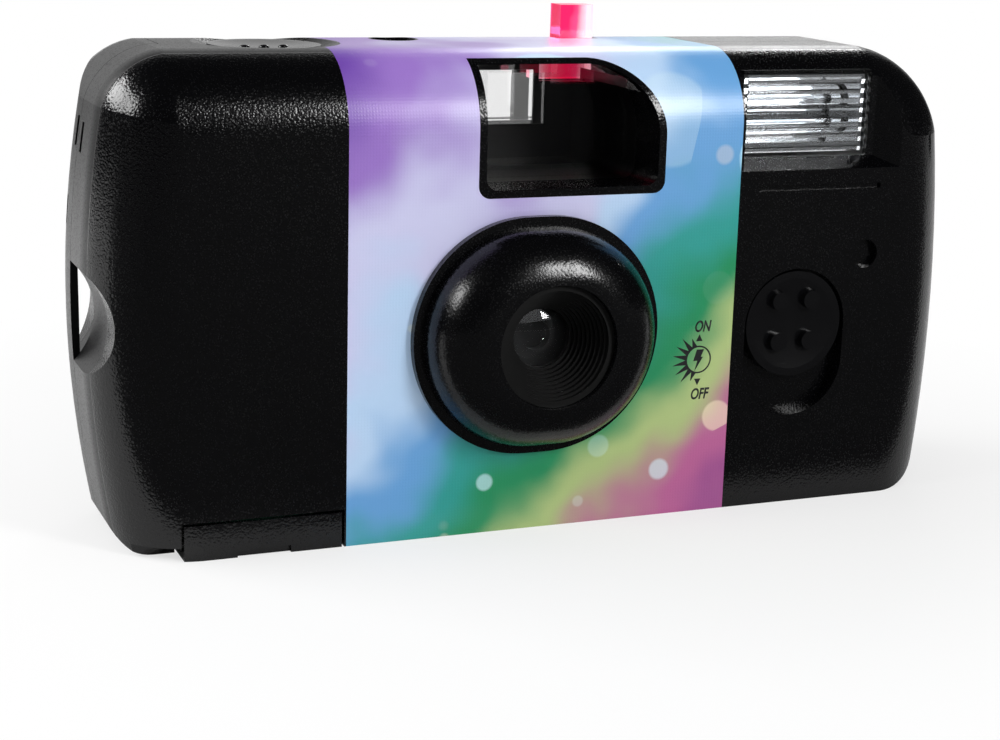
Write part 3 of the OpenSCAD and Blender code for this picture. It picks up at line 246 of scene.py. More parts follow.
class Effects:
    """Shader node groups that several finishes share, each built once."""

    # Spark texture: shares of the pips and of a broader swell, and the swell's coarseness
    DOME_SHARE: ClassVar[float] = 0.6
    SWELL_SHARE: ClassVar[float] = 0.4
    SWELL_SCALE: ClassVar[float] = 0.62
    PIP_TOPS: ClassVar[Pair] = (0.6, 0.85)
    # Handling: the patches' range, and the scuffs' fineness, range, stretch and slant
    PATCH_RANGE: ClassVar[Pair] = (0.35, 0.65)
    SCUFF_SCALE: ClassVar[float] = 6.0
    SCUFF_RANGE: ClassVar[Pair] = (0.66, 0.74)
    SCUFF_STRETCH: ClassVar[Triple] = (1.0, 1.0, 9.0)
    SCUFF_TURN: ClassVar[Triple] = (0.3, 0.5, 0.2)
    # Linen: how much its threads wander
    THREAD_WANDER: ClassVar[float] = 1.2
    # How many finer layers the noise of the swell and of the patches has
    SWELL_DETAIL: ClassVar[float] = 1.0
    PATCH_DETAIL: ClassVar[float] = 4.0

    def __init__(self) -> None:
        """Builds the groups."""
        self.spark = self.build_spark()
        self.handling = self.build_handling()
        self.linen = self.build_linen()

    @staticmethod
    def start(
        name: str, inputs: list[str], outputs: list[str]
    ) -> tuple[Graph, bpy.types.Node, bpy.types.Node]:
        """Starts a group.

        Args:
            name: the group's name.
            inputs: names of its number inputs.
            outputs: names of its number outputs.
        Returns:
            Its graph, its input node and its output node.
        """
        tree = bpy.data.node_groups.new(name, "ShaderNodeTree")
        for label in inputs:
            tree.interface.new_socket(label, in_out="INPUT", socket_type="NodeSocketFloat")
        for label in outputs:
            tree.interface.new_socket(label, in_out="OUTPUT", socket_type="NodeSocketFloat")
        return Graph(tree), tree.nodes.new("NodeGroupInput"), tree.nodes.new("NodeGroupOutput")

    def build_spark(self) -> bpy.types.NodeTree:
        """Builds the fine eroded texture of a mould: rounded pips of mixed size.

        Returns:
            The group.
        """
        graph, given, result = self.start("spark_texture", ["Scale"], ["Height", "Pips"])
        coords = graph.place()
        pips = graph.add("TexVoronoi", feature="SMOOTH_F1")
        graph.join(coords, pips.inputs["Vector"])
        graph.join(given.outputs["Scale"], pips.inputs["Scale"])
        coarser = graph.product(given.outputs["Scale"], self.SWELL_SCALE)
        swell = graph.noise(coords, coarser, self.SWELL_DETAIL)
        domes = graph.math("SUBTRACT", 1.0, pips.outputs["Distance"])
        height = graph.total(graph.product(domes, self.DOME_SHARE), graph.product(swell, self.SWELL_SHARE))
        graph.join(height, result.inputs["Height"])
        graph.join(graph.span(domes, *self.PIP_TOPS, 0.0, 1.0), result.inputs["Pips"])
        return graph.tree

    def build_handling(self) -> bpy.types.NodeTree:
        """Builds the uneven polish of a handled surface, with faint fine scuffs.

        Returns:
            The group.
        """
        graph, given, result = self.start("handling", ["Scale"], ["Patches", "Scuffs"])
        coords = graph.place()
        patches = graph.noise(coords, given.outputs["Scale"], self.PATCH_DETAIL)
        stretch = graph.add("Mapping")
        stretch.inputs["Scale"].default_value = self.SCUFF_STRETCH
        stretch.inputs["Rotation"].default_value = self.SCUFF_TURN
        graph.join(coords, stretch.inputs["Vector"])
        lines = graph.noise(stretch.outputs[0], graph.product(given.outputs["Scale"], self.SCUFF_SCALE))
        graph.join(graph.span(patches, *self.PATCH_RANGE, 0.0, 1.0), result.inputs["Patches"])
        graph.join(graph.span(lines, *self.SCUFF_RANGE, 0.0, 1.0), result.inputs["Scuffs"])
        return graph.tree

    def build_linen(self) -> bpy.types.NodeTree:
        """Builds the crossed fine grain embossed in the label's film.

        Returns:
            The group.
        """
        graph, given, result = self.start("linen_emboss", ["Scale"], ["Height"])
        coords = graph.place()
        waves = []
        for direction in ("X", "Z"):
            wave = graph.add("TexWave", wave_type="BANDS", bands_direction=direction)
            graph.join(coords, wave.inputs["Vector"])
            graph.join(given.outputs["Scale"], wave.inputs["Scale"])
            wave.inputs["Distortion"].default_value = self.THREAD_WANDER
            waves.append(wave.outputs["Fac"])
        graph.join(graph.product(*waves), result.inputs["Height"])
        return graph.tree


@dataclass
class Surface:
    """A material under construction: its graph and its main shader."""

    name: str
    material: bpy.types.Material = field(init=False)
    graph: Graph = field(init=False)
    shader: bpy.types.Node = field(init=False)

    def __post_init__(self) -> None:
        """Makes the material and finds its shader."""
        self.material = bpy.data.materials.new(self.name)
        self.material.use_nodes = True
        self.graph = Graph(self.material.node_tree)
        self.shader = self.material.node_tree.nodes["Principled BSDF"]

    def group(self, tree: bpy.types.NodeTree, scale: float) -> bpy.types.Node:
        """Places a shared effect at a scale.

        Args:
            tree: the effect's group.
            scale: its fineness.
        Returns:
            The node.
        """
        node = self.graph.add("Group", node_tree=tree)
        node.inputs["Scale"].default_value = scale
        return node

    def set(self, key: str, value: object) -> None:
        """Sets or links one of the shader's sockets.

        Args:
            key: the socket's name.
            value: a number, a colour or a socket.
        """
        self.graph.feed(self.shader.inputs[key], value)

    def bump(self, height: Socket, strength: float, depth: float) -> None:
        """Feeds a height to the shader's normal.

        Args:
            height: the height from 0 to 1.
            strength: strength of the bump.
            depth: depth in metres that a height of 1 stands for.
        """
        node = self.graph.add("Bump")
        node.inputs["Strength"].default_value = strength
        node.inputs["Distance"].default_value = depth
        self.graph.join(height, node.inputs["Height"])
        self.graph.join(node.outputs[0], self.shader.inputs["Normal"])


@dataclass(frozen=True)
class Moulded:
    """Moulded plastic with a spark texture."""

    PATCH_SCALE: ClassVar[float] = 60.0
    PIP_TINT: ClassVar[float] = 0.6
    SCUFF_ROUGH: ClassVar[float] = 0.05
    PLAIN_ROUGH: ClassVar[float] = 0.16
    BAND_EDGE: ClassVar[float] = 0.2 * MM

    name: str
    colour: Colour
    pip_colour: Colour
    rough: Pair
    grain: float
    depth: float
    strength: float
    specular: float = 0.5
    plain_band: Pair | None = None
    pip_rough: float = 0.0

    def make(self, effects: Effects) -> bpy.types.Material:
        """Builds the material.

        Args:
            effects: the shared effects.
        Returns:
            The material.
        """
        surface = Surface(self.name)
        graph = surface.graph
        spark = surface.group(effects.spark, self.grain)
        handling = surface.group(effects.handling, self.PATCH_SCALE)
        pips = spark.outputs["Pips"]
        tinted = graph.product(pips, self.PIP_TINT)
        surface.set("Base Color", graph.blend(tinted, self.colour, self.pip_colour))
        rough = graph.total(
            graph.span(handling.outputs["Patches"], 0.0, 1.0, *self.rough),
            graph.product(handling.outputs["Scuffs"], self.SCUFF_ROUGH),
            graph.product(pips, self.pip_rough),
        )
        surface.set("Specular IOR Level", self.specular)
        height = spark.outputs["Height"]
        if self.plain_band is not None:
            plain = self.plain_share(graph)
            height = graph.product(height, graph.math("SUBTRACT", 1.0, plain))
            rough = graph.total(rough, graph.product(plain, self.PLAIN_ROUGH))
        surface.set("Roughness", rough)
        surface.bump(height, self.strength, self.depth)
        return surface.material

    def plain_share(self, graph: Graph) -> Socket:
        """Finds where the moulding is plain: between the textured front and back, at crisp edges.

        Args:
            graph: the material's graph.
        Returns:
            The share, from 0 to 1.
        """
        depth = graph.axes(graph.place())["Y"]
        front, back = self.plain_band
        behind_front = graph.span(depth, front, front + self.BAND_EDGE, 0.0, 1.0)
        before_back = graph.span(depth, back, back + self.BAND_EDGE, 1.0, 0.0)
        return graph.product(behind_front, before_back)


@dataclass(frozen=True)
class Clear:
    """Clear or tinted moulded acrylic and glass, which may carry painted light: an emission of its own
    colour.
    """

    PATCH_SCALE: ClassVar[float] = 90.0
    SCUFF_TINT: ClassVar[float] = 0.94
    SCUFF_ROUGH: ClassVar[float] = 0.04
    RIPPLE_DEPTH: ClassVar[float] = 0.01 * MM
    # The core's waver, and its full and faded half widths, as shares of the guide's width
    WAVER_SCALE: ClassVar[float] = 260.0
    WAVER: ClassVar[float] = 0.3
    CORE_HALF: ClassVar[Pair] = (0.2, 0.4)

    name: str
    colour: Colour
    rough: float = 0.02
    ior: float = 1.49
    ripple: float = 0.15
    specular: float = 0.5
    alpha: float = 1.0
    # Strength of painted light: the piece emits its own colour, though it is no lamp
    painted_glow: float = 0.0
    core: Colour | None = None
    core_box: Pair = (0.0, 0.0)

    def make(self, effects: Effects) -> bpy.types.Material:
        """Builds the material.

        Args:
            effects: the shared effects.
        Returns:
            The material.
        """
        surface = Surface(self.name)
        graph = surface.graph
        handling = surface.group(effects.handling, self.PATCH_SCALE)
        scuffs = handling.outputs["Scuffs"]
        colour = graph.blend(scuffs, self.colour, tuple(c * self.SCUFF_TINT for c in self.colour))
        if self.core is not None:
            colour = graph.blend(self.core_share(graph), colour, self.core)
        surface.set("Base Color", colour)
        # Painted light: the colour, with any core streak, is emitted as if the piece were lit from within
        if self.painted_glow:
            surface.set("Emission Color", colour)
            surface.set("Emission Strength", self.painted_glow)
        surface.set("Specular IOR Level", self.specular)
        surface.set("Roughness", graph.total(self.rough, graph.product(scuffs, self.SCUFF_ROUGH)))
        surface.set("IOR", self.ior)
        surface.set("Alpha", self.alpha)
        surface.set("Transmission Weight", 1.0)
        surface.bump(handling.outputs["Patches"], self.ripple, self.RIPPLE_DEPTH)
        return surface.material

    def core_share(self, graph: Graph) -> Socket:
        """Finds the wavering deep-coloured streak down the middle of a light guide.

        Args:
            graph: the material's graph.
        Returns:
            The share, from 0 to 1.
        """
        coords = graph.place()
        low, high = self.core_box
        width = high - low
        unevenness = graph.math("SUBTRACT", graph.noise(coords, self.WAVER_SCALE), 0.5)
        across = graph.total(graph.axes(coords)["X"], graph.product(unevenness, self.WAVER * width))
        off = graph.math("ABSOLUTE", graph.math("SUBTRACT", across, (low + high) / 2))
        return graph.span(off, *(share * width for share in self.CORE_HALF), 1.0, 0.0)


@dataclass(frozen=True)
class Metal:
    """Bright metal with a drawn grain."""

    PATCH_TINT: ClassVar[float] = 0.85
    RIPPLE: ClassVar[float] = 0.15
    RIPPLE_DEPTH: ClassVar[float] = 0.01 * MM

    name: str
    colour: Colour
    rough: Pair
    grain: float = 900.0

    def make(self, effects: Effects) -> bpy.types.Material:
        """Builds the material.

        Args:
            effects: the shared effects.
        Returns:
            The material.
        """
        surface = Surface(self.name)
        graph = surface.graph
        handling = surface.group(effects.handling, self.grain)
        dark = tuple(c * self.PATCH_TINT for c in self.colour)
        surface.set("Base Color", graph.blend(handling.outputs["Patches"], self.colour, dark))
        surface.set("Metallic", 1.0)
        surface.set("Roughness", graph.span(handling.outputs["Scuffs"], 0.0, 1.0, *self.rough))
        surface.bump(handling.outputs["Patches"], self.RIPPLE, self.RIPPLE_DEPTH)
        return surface.material


@dataclass(frozen=True)
class Print:
    """The label's satin film: soft slanting colours under drifting translucent discs."""

    # Colours of the wash, from its start to its end
    WASH: ClassVar[list[tuple[float, Colour]]] = [
        (0.05, (0.13, 0.05, 0.33)), (0.20, (0.26, 0.14, 0.47)), (0.31, (0.50, 0.50, 0.71)),
        (0.38, (0.40, 0.55, 0.75)), (0.46, (0.11, 0.30, 0.58)), (0.56, (0.02, 0.28, 0.25)),
        (0.68, (0.01, 0.23, 0.09)), (0.79, (0.36, 0.46, 0.18)), (0.90, (0.42, 0.10, 0.26)),
        (1.0, (0.20, 0.04, 0.22)),
    ]
    # Colours that the discs are picked from
    TINTS: ClassVar[list[tuple[float, Colour]]] = [
        (0.0, (0.95, 0.93, 1.0)), (0.35, (0.55, 0.85, 0.95)),
        (0.65, (0.98, 0.85, 0.55)), (1.0, (0.95, 0.6, 0.8)),
    ]
    # Two layers of discs: how many to a metre, how much of its cell the largest fills, and its weight
    DISC_LAYERS: ClassVar[list[Triple]] = [(70.0, 0.9, 0.7), (150.0, 0.7, 0.55)]
    DISC_EDGE: ClassVar[float] = 30.0
    DRIFT: ClassVar[float] = 0.55
    DRIFT_SCALE: ClassVar[float] = 38.0
    DRIFT_DETAIL: ClassVar[float] = 3.0
    PATCH_SCALE: ClassVar[float] = 50.0
    ROUGH: ClassVar[Pair] = (0.3, 0.4)
    COAT: ClassVar[float] = 0.15
    COAT_ROUGH: ClassVar[float] = 0.22
    EMBOSS: ClassVar[float] = 0.25
    EMBOSS_DEPTH: ClassVar[float] = 0.03 * MM

    name: str = "label_film"
    slant: Triple = (0.62, 0.35, -0.7)
    band: float = 0.075
    start: float = 0.8
    grain: float = 900.0

    def make(self, effects: Effects) -> bpy.types.Material:
        """Builds the material.

        Args:
            effects: the shared effects.
        Returns:
            The material.
        """
        surface = Surface(self.name)
        graph = surface.graph
        coords = graph.place()
        colour = self.wash(graph, coords)
        for layer in self.DISC_LAYERS:
            colour = self.discs(graph, coords, colour, *layer)
        linen = surface.group(effects.linen, self.grain)
        handling = surface.group(effects.handling, self.PATCH_SCALE)
        surface.set("Base Color", colour)
        surface.set("Roughness", graph.span(handling.outputs["Patches"], 0.0, 1.0, *self.ROUGH))
        surface.set("Coat Weight", self.COAT)
        surface.set("Coat Roughness", self.COAT_ROUGH)
        surface.bump(linen.outputs["Height"], self.EMBOSS, self.EMBOSS_DEPTH)
        return surface.material

    def wash(self, graph: Graph, coords: Socket) -> Socket:
        """Builds the slanting wash of colour.

        Args:
            graph: the material's graph.
            coords: the object coordinates.
        Returns:
            The colour.
        """
        along = graph.add("VectorMath", operation="DOT_PRODUCT")
        graph.join(coords, along.inputs[0])
        along.inputs[1].default_value = Vector(self.slant) / self.band
        wander = graph.noise(coords, self.DRIFT_SCALE, self.DRIFT_DETAIL)
        unevenness = graph.math("SUBTRACT", wander, 0.5)
        drift = graph.product(unevenness, self.DRIFT)
        return graph.ramp(graph.total(along.outputs["Value"], self.start, drift), self.WASH, "EASE")

    def discs(
        self, graph: Graph, coords: Socket, under: Socket, scale: float, spread: float, weight: float
    ) -> Socket:
        """Lays translucent pale discs over a colour.

        Args:
            graph: the material's graph.
            coords: the object coordinates.
            under: the colour below.
            scale: discs per metre.
            spread: share of the cell that the largest disc fills.
            weight: how opaque the discs are.
        Returns:
            The colour with its discs.
        """
        cells = graph.add("TexVoronoi")
        graph.join(coords, cells.inputs["Vector"])
        cells.inputs["Scale"].default_value = scale
        parts = graph.add("SeparateColor")
        graph.join(cells.outputs["Color"], parts.inputs[0])
        radius = graph.product(parts.outputs[0], 0.5 * spread)
        reach = graph.math("SUBTRACT", radius, cells.outputs["Distance"])
        inside = graph.math("MULTIPLY", reach, self.DISC_EDGE, clamp=True)
        share = graph.product(parts.outputs[2], weight, inside)
        return graph.blend(share, under, graph.ramp(parts.outputs[1], self.TINTS))


class Materials:
    """Every finish of the camera, and the nodes that take it."""

    BLACK: ClassVar[Colour] = (0.001, 0.001, 0.0013)
    BLACK_PIPS: ClassVar[Colour] = (0.002, 0.002, 0.0025)
    CLEAR: ClassVar[Colour] = (1.0, 1.0, 1.0)

    SHELL = Moulded(
        "black_shell", BLACK, BLACK_PIPS, rough=(0.14, 0.19), grain=4300.0, depth=0.045 * MM, strength=1.0,
        specular=0.4, plain_band=(-3.9 * MM, 10.5 * MM), pip_rough=0.14,
    )
    RING = Moulded(
        "black_ring", BLACK, BLACK_PIPS, rough=(0.17, 0.22), grain=4300.0, depth=0.022 * MM, strength=1.0,
        specular=0.4, pip_rough=0.12,
    )
    SMOOTH = Moulded(
        "black_smooth", (0.0015, 0.0015, 0.002), (0.003, 0.003, 0.0035), rough=(0.19, 0.24),
        grain=3800.0, depth=0.01 * MM, strength=0.6, specular=0.45,
    )
    MATT = Moulded(
        "black_matt", (0.002, 0.002, 0.002), (0.004, 0.004, 0.004), rough=(0.45, 0.55),
        grain=3000.0, depth=0.02 * MM, strength=0.3, specular=0.3,
    )
    WHITE = Moulded(
        "white_moulding", (0.80, 0.80, 0.77), (0.86, 0.86, 0.83), rough=(0.4, 0.5),
        grain=2500.0, depth=0.02 * MM, strength=0.2,
    )
    FILM = Moulded(
        "film_emulsion", (0.12, 0.07, 0.05), (0.14, 0.09, 0.06), rough=(0.2, 0.3),
        grain=1500.0, depth=0.01 * MM, strength=0.1,
    )
    BOARD = Moulded(
        "resin_board", (0.42, 0.26, 0.10), (0.55, 0.36, 0.16), rough=(0.45, 0.55),
        grain=1500.0, depth=0.02 * MM, strength=0.2,
    )
    SLEEVE = Moulded(
        "dark_sleeve", (0.03, 0.035, 0.06), (0.05, 0.05, 0.08), rough=(0.3, 0.4),
        grain=1800.0, depth=0.01 * MM, strength=0.1,
    )
    TAPE = Moulded(
        "yellow_tape", (0.7, 0.5, 0.08), (0.78, 0.58, 0.14), rough=(0.35, 0.45),
        grain=1800.0, depth=0.02 * MM, strength=0.2,
    )
    CARTRIDGE = Moulded(
        "cartridge_paint", (0.05, 0.25, 0.15), (0.08, 0.3, 0.2), rough=(0.25, 0.35),
        grain=2000.0, depth=0.01 * MM, strength=0.1,
    )
    CELL = Moulded(
        "cell_sleeve", (0.55, 0.56, 0.58), (0.62, 0.62, 0.64), rough=(0.25, 0.35),
        grain=2000.0, depth=0.01 * MM, strength=0.1,
    )
    INK = Moulded(
        "printing_ink", (0.012, 0.012, 0.014), (0.02, 0.02, 0.022), rough=(0.35, 0.45),
        grain=2500.0, depth=0.01 * MM, strength=0.1,
    )
    ACRYLIC = Clear("clear_acrylic", (0.96, 0.98, 1.0))
    FINDER = Clear("finder_acrylic", CLEAR, rough=0.01, ripple=0.05, specular=0.12, alpha=0.15)
    EYEPIECE = Clear("eyepiece_acrylic", CLEAR, rough=0.01, ripple=0.05, specular=0.12)
    # The light pipe is painted as lit: it emits its pink colour and red core streak, though it is no lamp
    PINK = Clear(
        "pink_acrylic", (1.0, 0.60, 0.70), rough=0.04, painted_glow=0.25, core=(1.0, 0.02, 0.13),
        core_box=tuple(corner.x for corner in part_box("light_pipe")),
    )
    NEON = Clear("neon_glass", (1.0, 0.7, 0.5), rough=0.05)
    STEEL = Metal("bright_steel", (0.62, 0.62, 0.62), rough=(0.25, 0.35))
    FOIL = Metal("polished_foil", (0.86, 0.86, 0.86), rough=(0.12, 0.2), grain=400.0)
    LABEL = Print()
    NODES = {
        SHELL: ["front_cover", "rear_cover", "film_door"],
        RING: ["lens_ring"],
        SMOOTH: ["shutter_button", "flash_switch", "thumb_wheel"],
        MATT: ["lens_hood", "aperture_plate", "main_frame", "shutter_blade", "cartridge_top_cap",
               "cartridge_bottom_cap", "cartridge_spool"],
        WHITE: ["sprocket_wheel", "counter_dial", "switch_arm"],
        FILM: ["film_strip", "supply_roll"],
        BOARD: ["circuit_board"],
        SLEEVE: ["flash_capacitor"],
        TAPE: ["trigger_transformer"],
        CARTRIDGE: ["cartridge_shell"],
        CELL: ["battery_cell"],
        ACRYLIC: ["taking_lens", "counter_window", "flash_window", "flash_tube"],
        FINDER: ["finder_front_lens"],
        EYEPIECE: ["finder_eyepiece"],
        PINK: ["light_pipe"],
        NEON: ["neon_lamp"],
        STEEL: ["blade_spring", "drive_lever", "drive_spring", "release_lever", "door_hinge_pin",
                "contact_plus", "contact_minus"],
        FOIL: ["flash_reflector"],
        LABEL: ["label_wrap"],
    }

    def __init__(self, effects: Effects) -> None:
        """Keeps the shared effects."""
        self.effects = effects

    def dress(self) -> None:
        """Gives each CAD node its finish."""
        for finish, names in self.NODES.items():
            material = finish.make(self.effects)
            for name in names:
                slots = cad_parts[name].data.materials
                slots.clear()
                slots.append(material)
                LOG.info("%s takes %s", name, material.name)


@dataclass
class Piece:
    """A new mesh piece that rides on a body of the camera."""

    name: str
    body: str
    slot: str
    material: bpy.types.Material

    def finish(self, mesh: bmesh.types.BMesh) -> bpy.types.Object:
        """Turns a bmesh into an object at the origin that rides on its body.

        Args:
            mesh: the shape, already in its place.
        Returns:
            The object.
        """
        bmesh.ops.recalc_face_normals(mesh, faces=mesh.faces)
        data = bpy.data.meshes.new(self.name)
        mesh.to_mesh(data)
        mesh.free()
        data.materials.append(self.material)
        thing = bpy.data.objects.new(self.name, data)
        bpy.context.scene.collection.objects.link(thing)
        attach(thing, self.body)
        LOG.info("%s rides on %s", self.name, self.body)
        return thing


def lettering(text: str, size: float, slant: float = 0.0, stroke: float = 0.0) -> bmesh.types.BMesh:
    """Builds flat letters or figures, centred on the origin.

    Args:
        text: what is written.
        size: size of the type.
        slant: how far the letters lean.
        stroke: how much thicker the strokes are.
    Returns:
        The flat shape.
    """
    curve = bpy.data.curves.new("lettering", "FONT")
    curve.body = text
    curve.size = size
    curve.shear = slant
    curve.offset = stroke
    curve.align_y = "CENTER"
    thing = bpy.data.objects.new("lettering", curve)
    bpy.context.scene.collection.objects.link(thing)
    data = bpy.data.meshes.new_from_object(thing)
    mesh = bmesh.new()
    mesh.from_mesh(data)
    bpy.data.objects.remove(thing)
    bpy.data.meshes.remove(data)
    bmesh.ops.remove_doubles(mesh, verts=mesh.verts, dist=LETTER_MERGE)
    middle = sum((v.co.x for v in mesh.verts), 0.0) / len(mesh.verts)
    bmesh.ops.translate(mesh, verts=mesh.verts, vec=(-middle, 0.0, 0.0))
    return mesh


def thicken(mesh: bmesh.types.BMesh, film: float) -> None:
    """Gives a flat shape the thickness of a printed film, upwards.

    Args:
        mesh: the flat shape.
        film: the thickness.
    """
    made = bmesh.ops.extrude_face_region(mesh, geom=mesh.faces[:])
    raised = [v for v in made["geom"] if isinstance(v, bmesh.types.BMVert)]
    bmesh.ops.translate(mesh, verts=raised, vec=(0.0, 0.0, film))


@dataclass
class ButtonPips:
    """Three low pips in a row that a fingertip finds on the shutter button."""

    material: bpy.types.Material
    middle: Pair = (-30.45 * MM, 6.0 * MM)
    dish: float = 0.38 * MM
    count: int = 3
    pitch: float = 2.2 * MM
    radius: float = 0.6 * MM
    rise: float = 0.3 * MM
    segments: int = 24

    def build(self) -> None:
        """Builds the pips on the button's dished face."""
        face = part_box("shutter_button")[1].z - self.dish
        for i in range(self.count):
            mesh = bmesh.new()
            bmesh.ops.create_uvsphere(
                mesh, u_segments=self.segments, v_segments=self.segments // 2, radius=self.radius
            )
            bmesh.ops.scale(mesh, verts=mesh.verts, vec=(1.0, 1.0, self.rise / self.radius))
            place = (self.middle[0] + (i - self.count // 2) * self.pitch, self.middle[1], face)
            bmesh.ops.translate(mesh, verts=mesh.verts, vec=place)
            for side in mesh.faces:
                side.smooth = True
            Piece(f"button_pip_{i + 1}", "button", "black_gloss", self.material).finish(mesh)


@dataclass
class DialFigures:
    """Figures printed on the counter dial, read from behind through the window in the deck."""

    ink: bpy.types.Material
    middle: Pair = (-18.65 * MM, 6.552 * MM)
    radius: float = 5.2 * MM
    window_angle: float = math.radians(32.5)
    size: float = 1.7 * MM
    stroke: float = 0.03 * MM
    film: float = 0.02 * MM
    sunk: float = 0.3
    steps: int = 40
    full: int = 27
    every: int = 3

    def build(self) -> None:
        """Builds a figure for every third frame, from the full film at the window down to none."""
        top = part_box("counter_dial")[1].z
        axis = Matrix.Translation((*self.middle, top - self.sunk * self.film))
        out = Matrix.Rotation(self.window_angle, 4, "Z") @ Matrix.Translation((self.radius, 0.0, 0.0))
        upright = Matrix.Rotation(math.pi - self.window_angle, 4, "Z")
        for left in range(0, self.full + 1, self.every):
            mesh = lettering(str(left), self.size, stroke=self.stroke)
            thicken(mesh, self.film)
            step = Matrix.Rotation((self.full - left) * 2 * math.pi / self.steps, 4, "Z")
            bmesh.ops.transform(mesh, matrix=axis @ step @ out @ upright, verts=mesh.verts)
            Piece(f"dial_figure_{left:02d}", "counter", "black_gloss", self.ink).finish(mesh)


@dataclass
class SwitchMarks:
    """The printed signs beside the flash switch: words, arrows and a bolt in a ring with rays."""

    # Corners of the bolt and half size of an arrow head, in millimetres
    BOLT: ClassVar[list[Pair]] = [
        (-0.25, 1.2), (0.7, 1.2), (0.3, 0.3), (0.6, 0.3), (-0.45, -1.4), (-0.12, -0.15), (-0.65, -0.15),
    ]
    ARROW: ClassVar[Pair] = (0.42, 0.4)
    # Heights of the words and of the arrows, off the middle of the marks
    ON_UP: ClassVar[float] = 3.9 * MM
    OFF_DOWN: ClassVar[float] = 4.2 * MM
    ARROW_UP: ClassVar[float] = 2.6 * MM
    ARROW_DOWN: ClassVar[float] = 2.7 * MM
    # Radii of the ring, foot and tips of the rays in millimetres, and the angles of the burst in degrees
    RING: ClassVar[Pair] = (1.48, 1.66)
    RING_STEPS: ClassVar[int] = 48
    RING_MERGE: ClassVar[float] = 0.001 * MM
    RAY_FOOT: ClassVar[float] = 1.67
    RAY_TIP: ClassVar[float] = 3.4
    END_RAY_TIP: ClassVar[float] = 2.7
    RAY_COUNT: ClassVar[int] = 8
    RAY_HALF: ClassVar[float] = 10.5
    BURST_START: ClassVar[float] = 100.0
    BURST: ClassVar[float] = 160.0

    ink: bpy.types.Material
    x: float = 17.2 * MM
    middle: float = 18.52 * MM
    film: float = 0.03 * MM
    sunk: float = 0.3
    letter: float = 1.8125 * MM
    slant: float = 0.22
    stroke: float = 0.045 * MM
    narrow: float = 0.72

    def build(self) -> None:
        """Builds every sign on the label's front face."""
        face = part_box("label_wrap")[0].y
        shapes = {
            "mark_on": self.words("ON", self.middle + self.ON_UP),
            "mark_off": self.words("OFF", self.middle - self.OFF_DOWN),
            "mark_arrow_up": self.arrow(self.middle + self.ARROW_UP, Side.UP),
            "mark_arrow_down": self.arrow(self.middle - self.ARROW_DOWN, Side.DOWN),
            "mark_ring": self.ring(self.middle),
            "mark_bolt": self.bolt(self.middle),
            "mark_rays": self.rays(self.middle),
        }
        upright = Matrix.Rotation(math.radians(90), 4, "X")
        place = Matrix.Translation((0.0, face + self.sunk * self.film, 0.0)) @ upright
        for name, mesh in shapes.items():
            thicken(mesh, self.film)
            bmesh.ops.transform(mesh, matrix=place, verts=mesh.verts)
            Piece(name, "housing", "black_gloss", self.ink).finish(mesh)

    def words(self, text: str, height: float) -> bmesh.types.BMesh:
        """Builds a slanted narrow word, centred on the marks' line at a height.

        Args:
            text: the word.
            height: height of its middle.
        Returns:
            The flat shape.
        """
        mesh = lettering(text, self.letter, self.slant, self.stroke)
        bmesh.ops.scale(mesh, verts=mesh.verts, vec=(self.narrow, 1.0, 1.0))
        bmesh.ops.translate(mesh, verts=mesh.verts, vec=(self.x, height, 0.0))
        return mesh

    def outline(self, points: list[Pair]) -> bmesh.types.BMesh:
        """Builds a flat shape from its corners: millimetres off the marks' line, and heights in metres.

        Args:
            points: the corners.
        Returns:
            The flat shape.
        """
        mesh = bmesh.new()
        corners = [mesh.verts.new((self.x + x * MM, z, 0.0)) for x, z in points]
        mesh.faces.new(corners)
        return mesh

    def arrow(self, height: float, side: Side) -> bmesh.types.BMesh:
        """Builds a small arrow head that points up or down.

        Args:
            height: height of its middle.
            side: which way it points.
        Returns:
            The flat shape.
        """
        half, reach = self.ARROW
        tip = side.value * reach * MM
        return self.outline([(-half, height - tip), (half, height - tip), (0.0, height + tip)])

    def bolt(self, height: float) -> bmesh.types.BMesh:
        """Builds the bolt.

        Args:
            height: height of its middle.
        Returns:
            The flat shape.
        """
        mesh = self.outline([(x, height + z * MM) for x, z in self.BOLT])
        bmesh.ops.triangulate(mesh, faces=mesh.faces[:])
        return mesh

    def ring(self, height: float) -> bmesh.types.BMesh:
        """Builds the ring round the bolt by spinning a short edge.

        Args:
            height: height of its middle.
        Returns:
            The flat shape.
        """
        mesh = bmesh.new()
        ends = [mesh.verts.new((self.x + r * MM, height, 0.0)) for r in self.RING]
        edge = mesh.edges.new(ends)
        bmesh.ops.spin(mesh, geom=[*ends, edge], cent=(self.x, height, 0.0), axis=(0.0, 0.0, 1.0),
                       angle=2 * math.pi, steps=self.RING_STEPS, use_merge=True)
        bmesh.ops.remove_doubles(mesh, verts=mesh.verts, dist=self.RING_MERGE)
        return mesh

    def rays(self, height: float) -> bmesh.types.BMesh:
        """Builds the burst of rays on the ring's left side.

        Args:
            height: height of the ring's middle.
        Returns:
            The flat shape.
        """
        mesh = bmesh.new()
        half = math.radians(self.RAY_HALF)
        for i in range(self.RAY_COUNT):
            middle = math.radians(self.BURST_START + self.BURST * (i + 0.5) / self.RAY_COUNT)
            inner = 0 < i < self.RAY_COUNT - 1
            tip = (self.RAY_TIP if inner else self.END_RAY_TIP, middle)
            corners = [(self.RAY_FOOT, middle - half), tip, (self.RAY_FOOT, middle + half)]
            mesh.faces.new([mesh.verts.new(self.polar(r, a, height)) for r, a in corners])
        return mesh

    def polar(self, radius: float, angle: float, height: float) -> Vector:
        """Finds a point round the ring's middle.

        Args:
            radius: distance from the middle in millimetres.
            angle: direction in radians.
            height: height of the middle.
        Returns:
            The point.
        """
        out = radius * MM
        return Vector((self.x + out * math.cos(angle), height + out * math.sin(angle), 0.0))


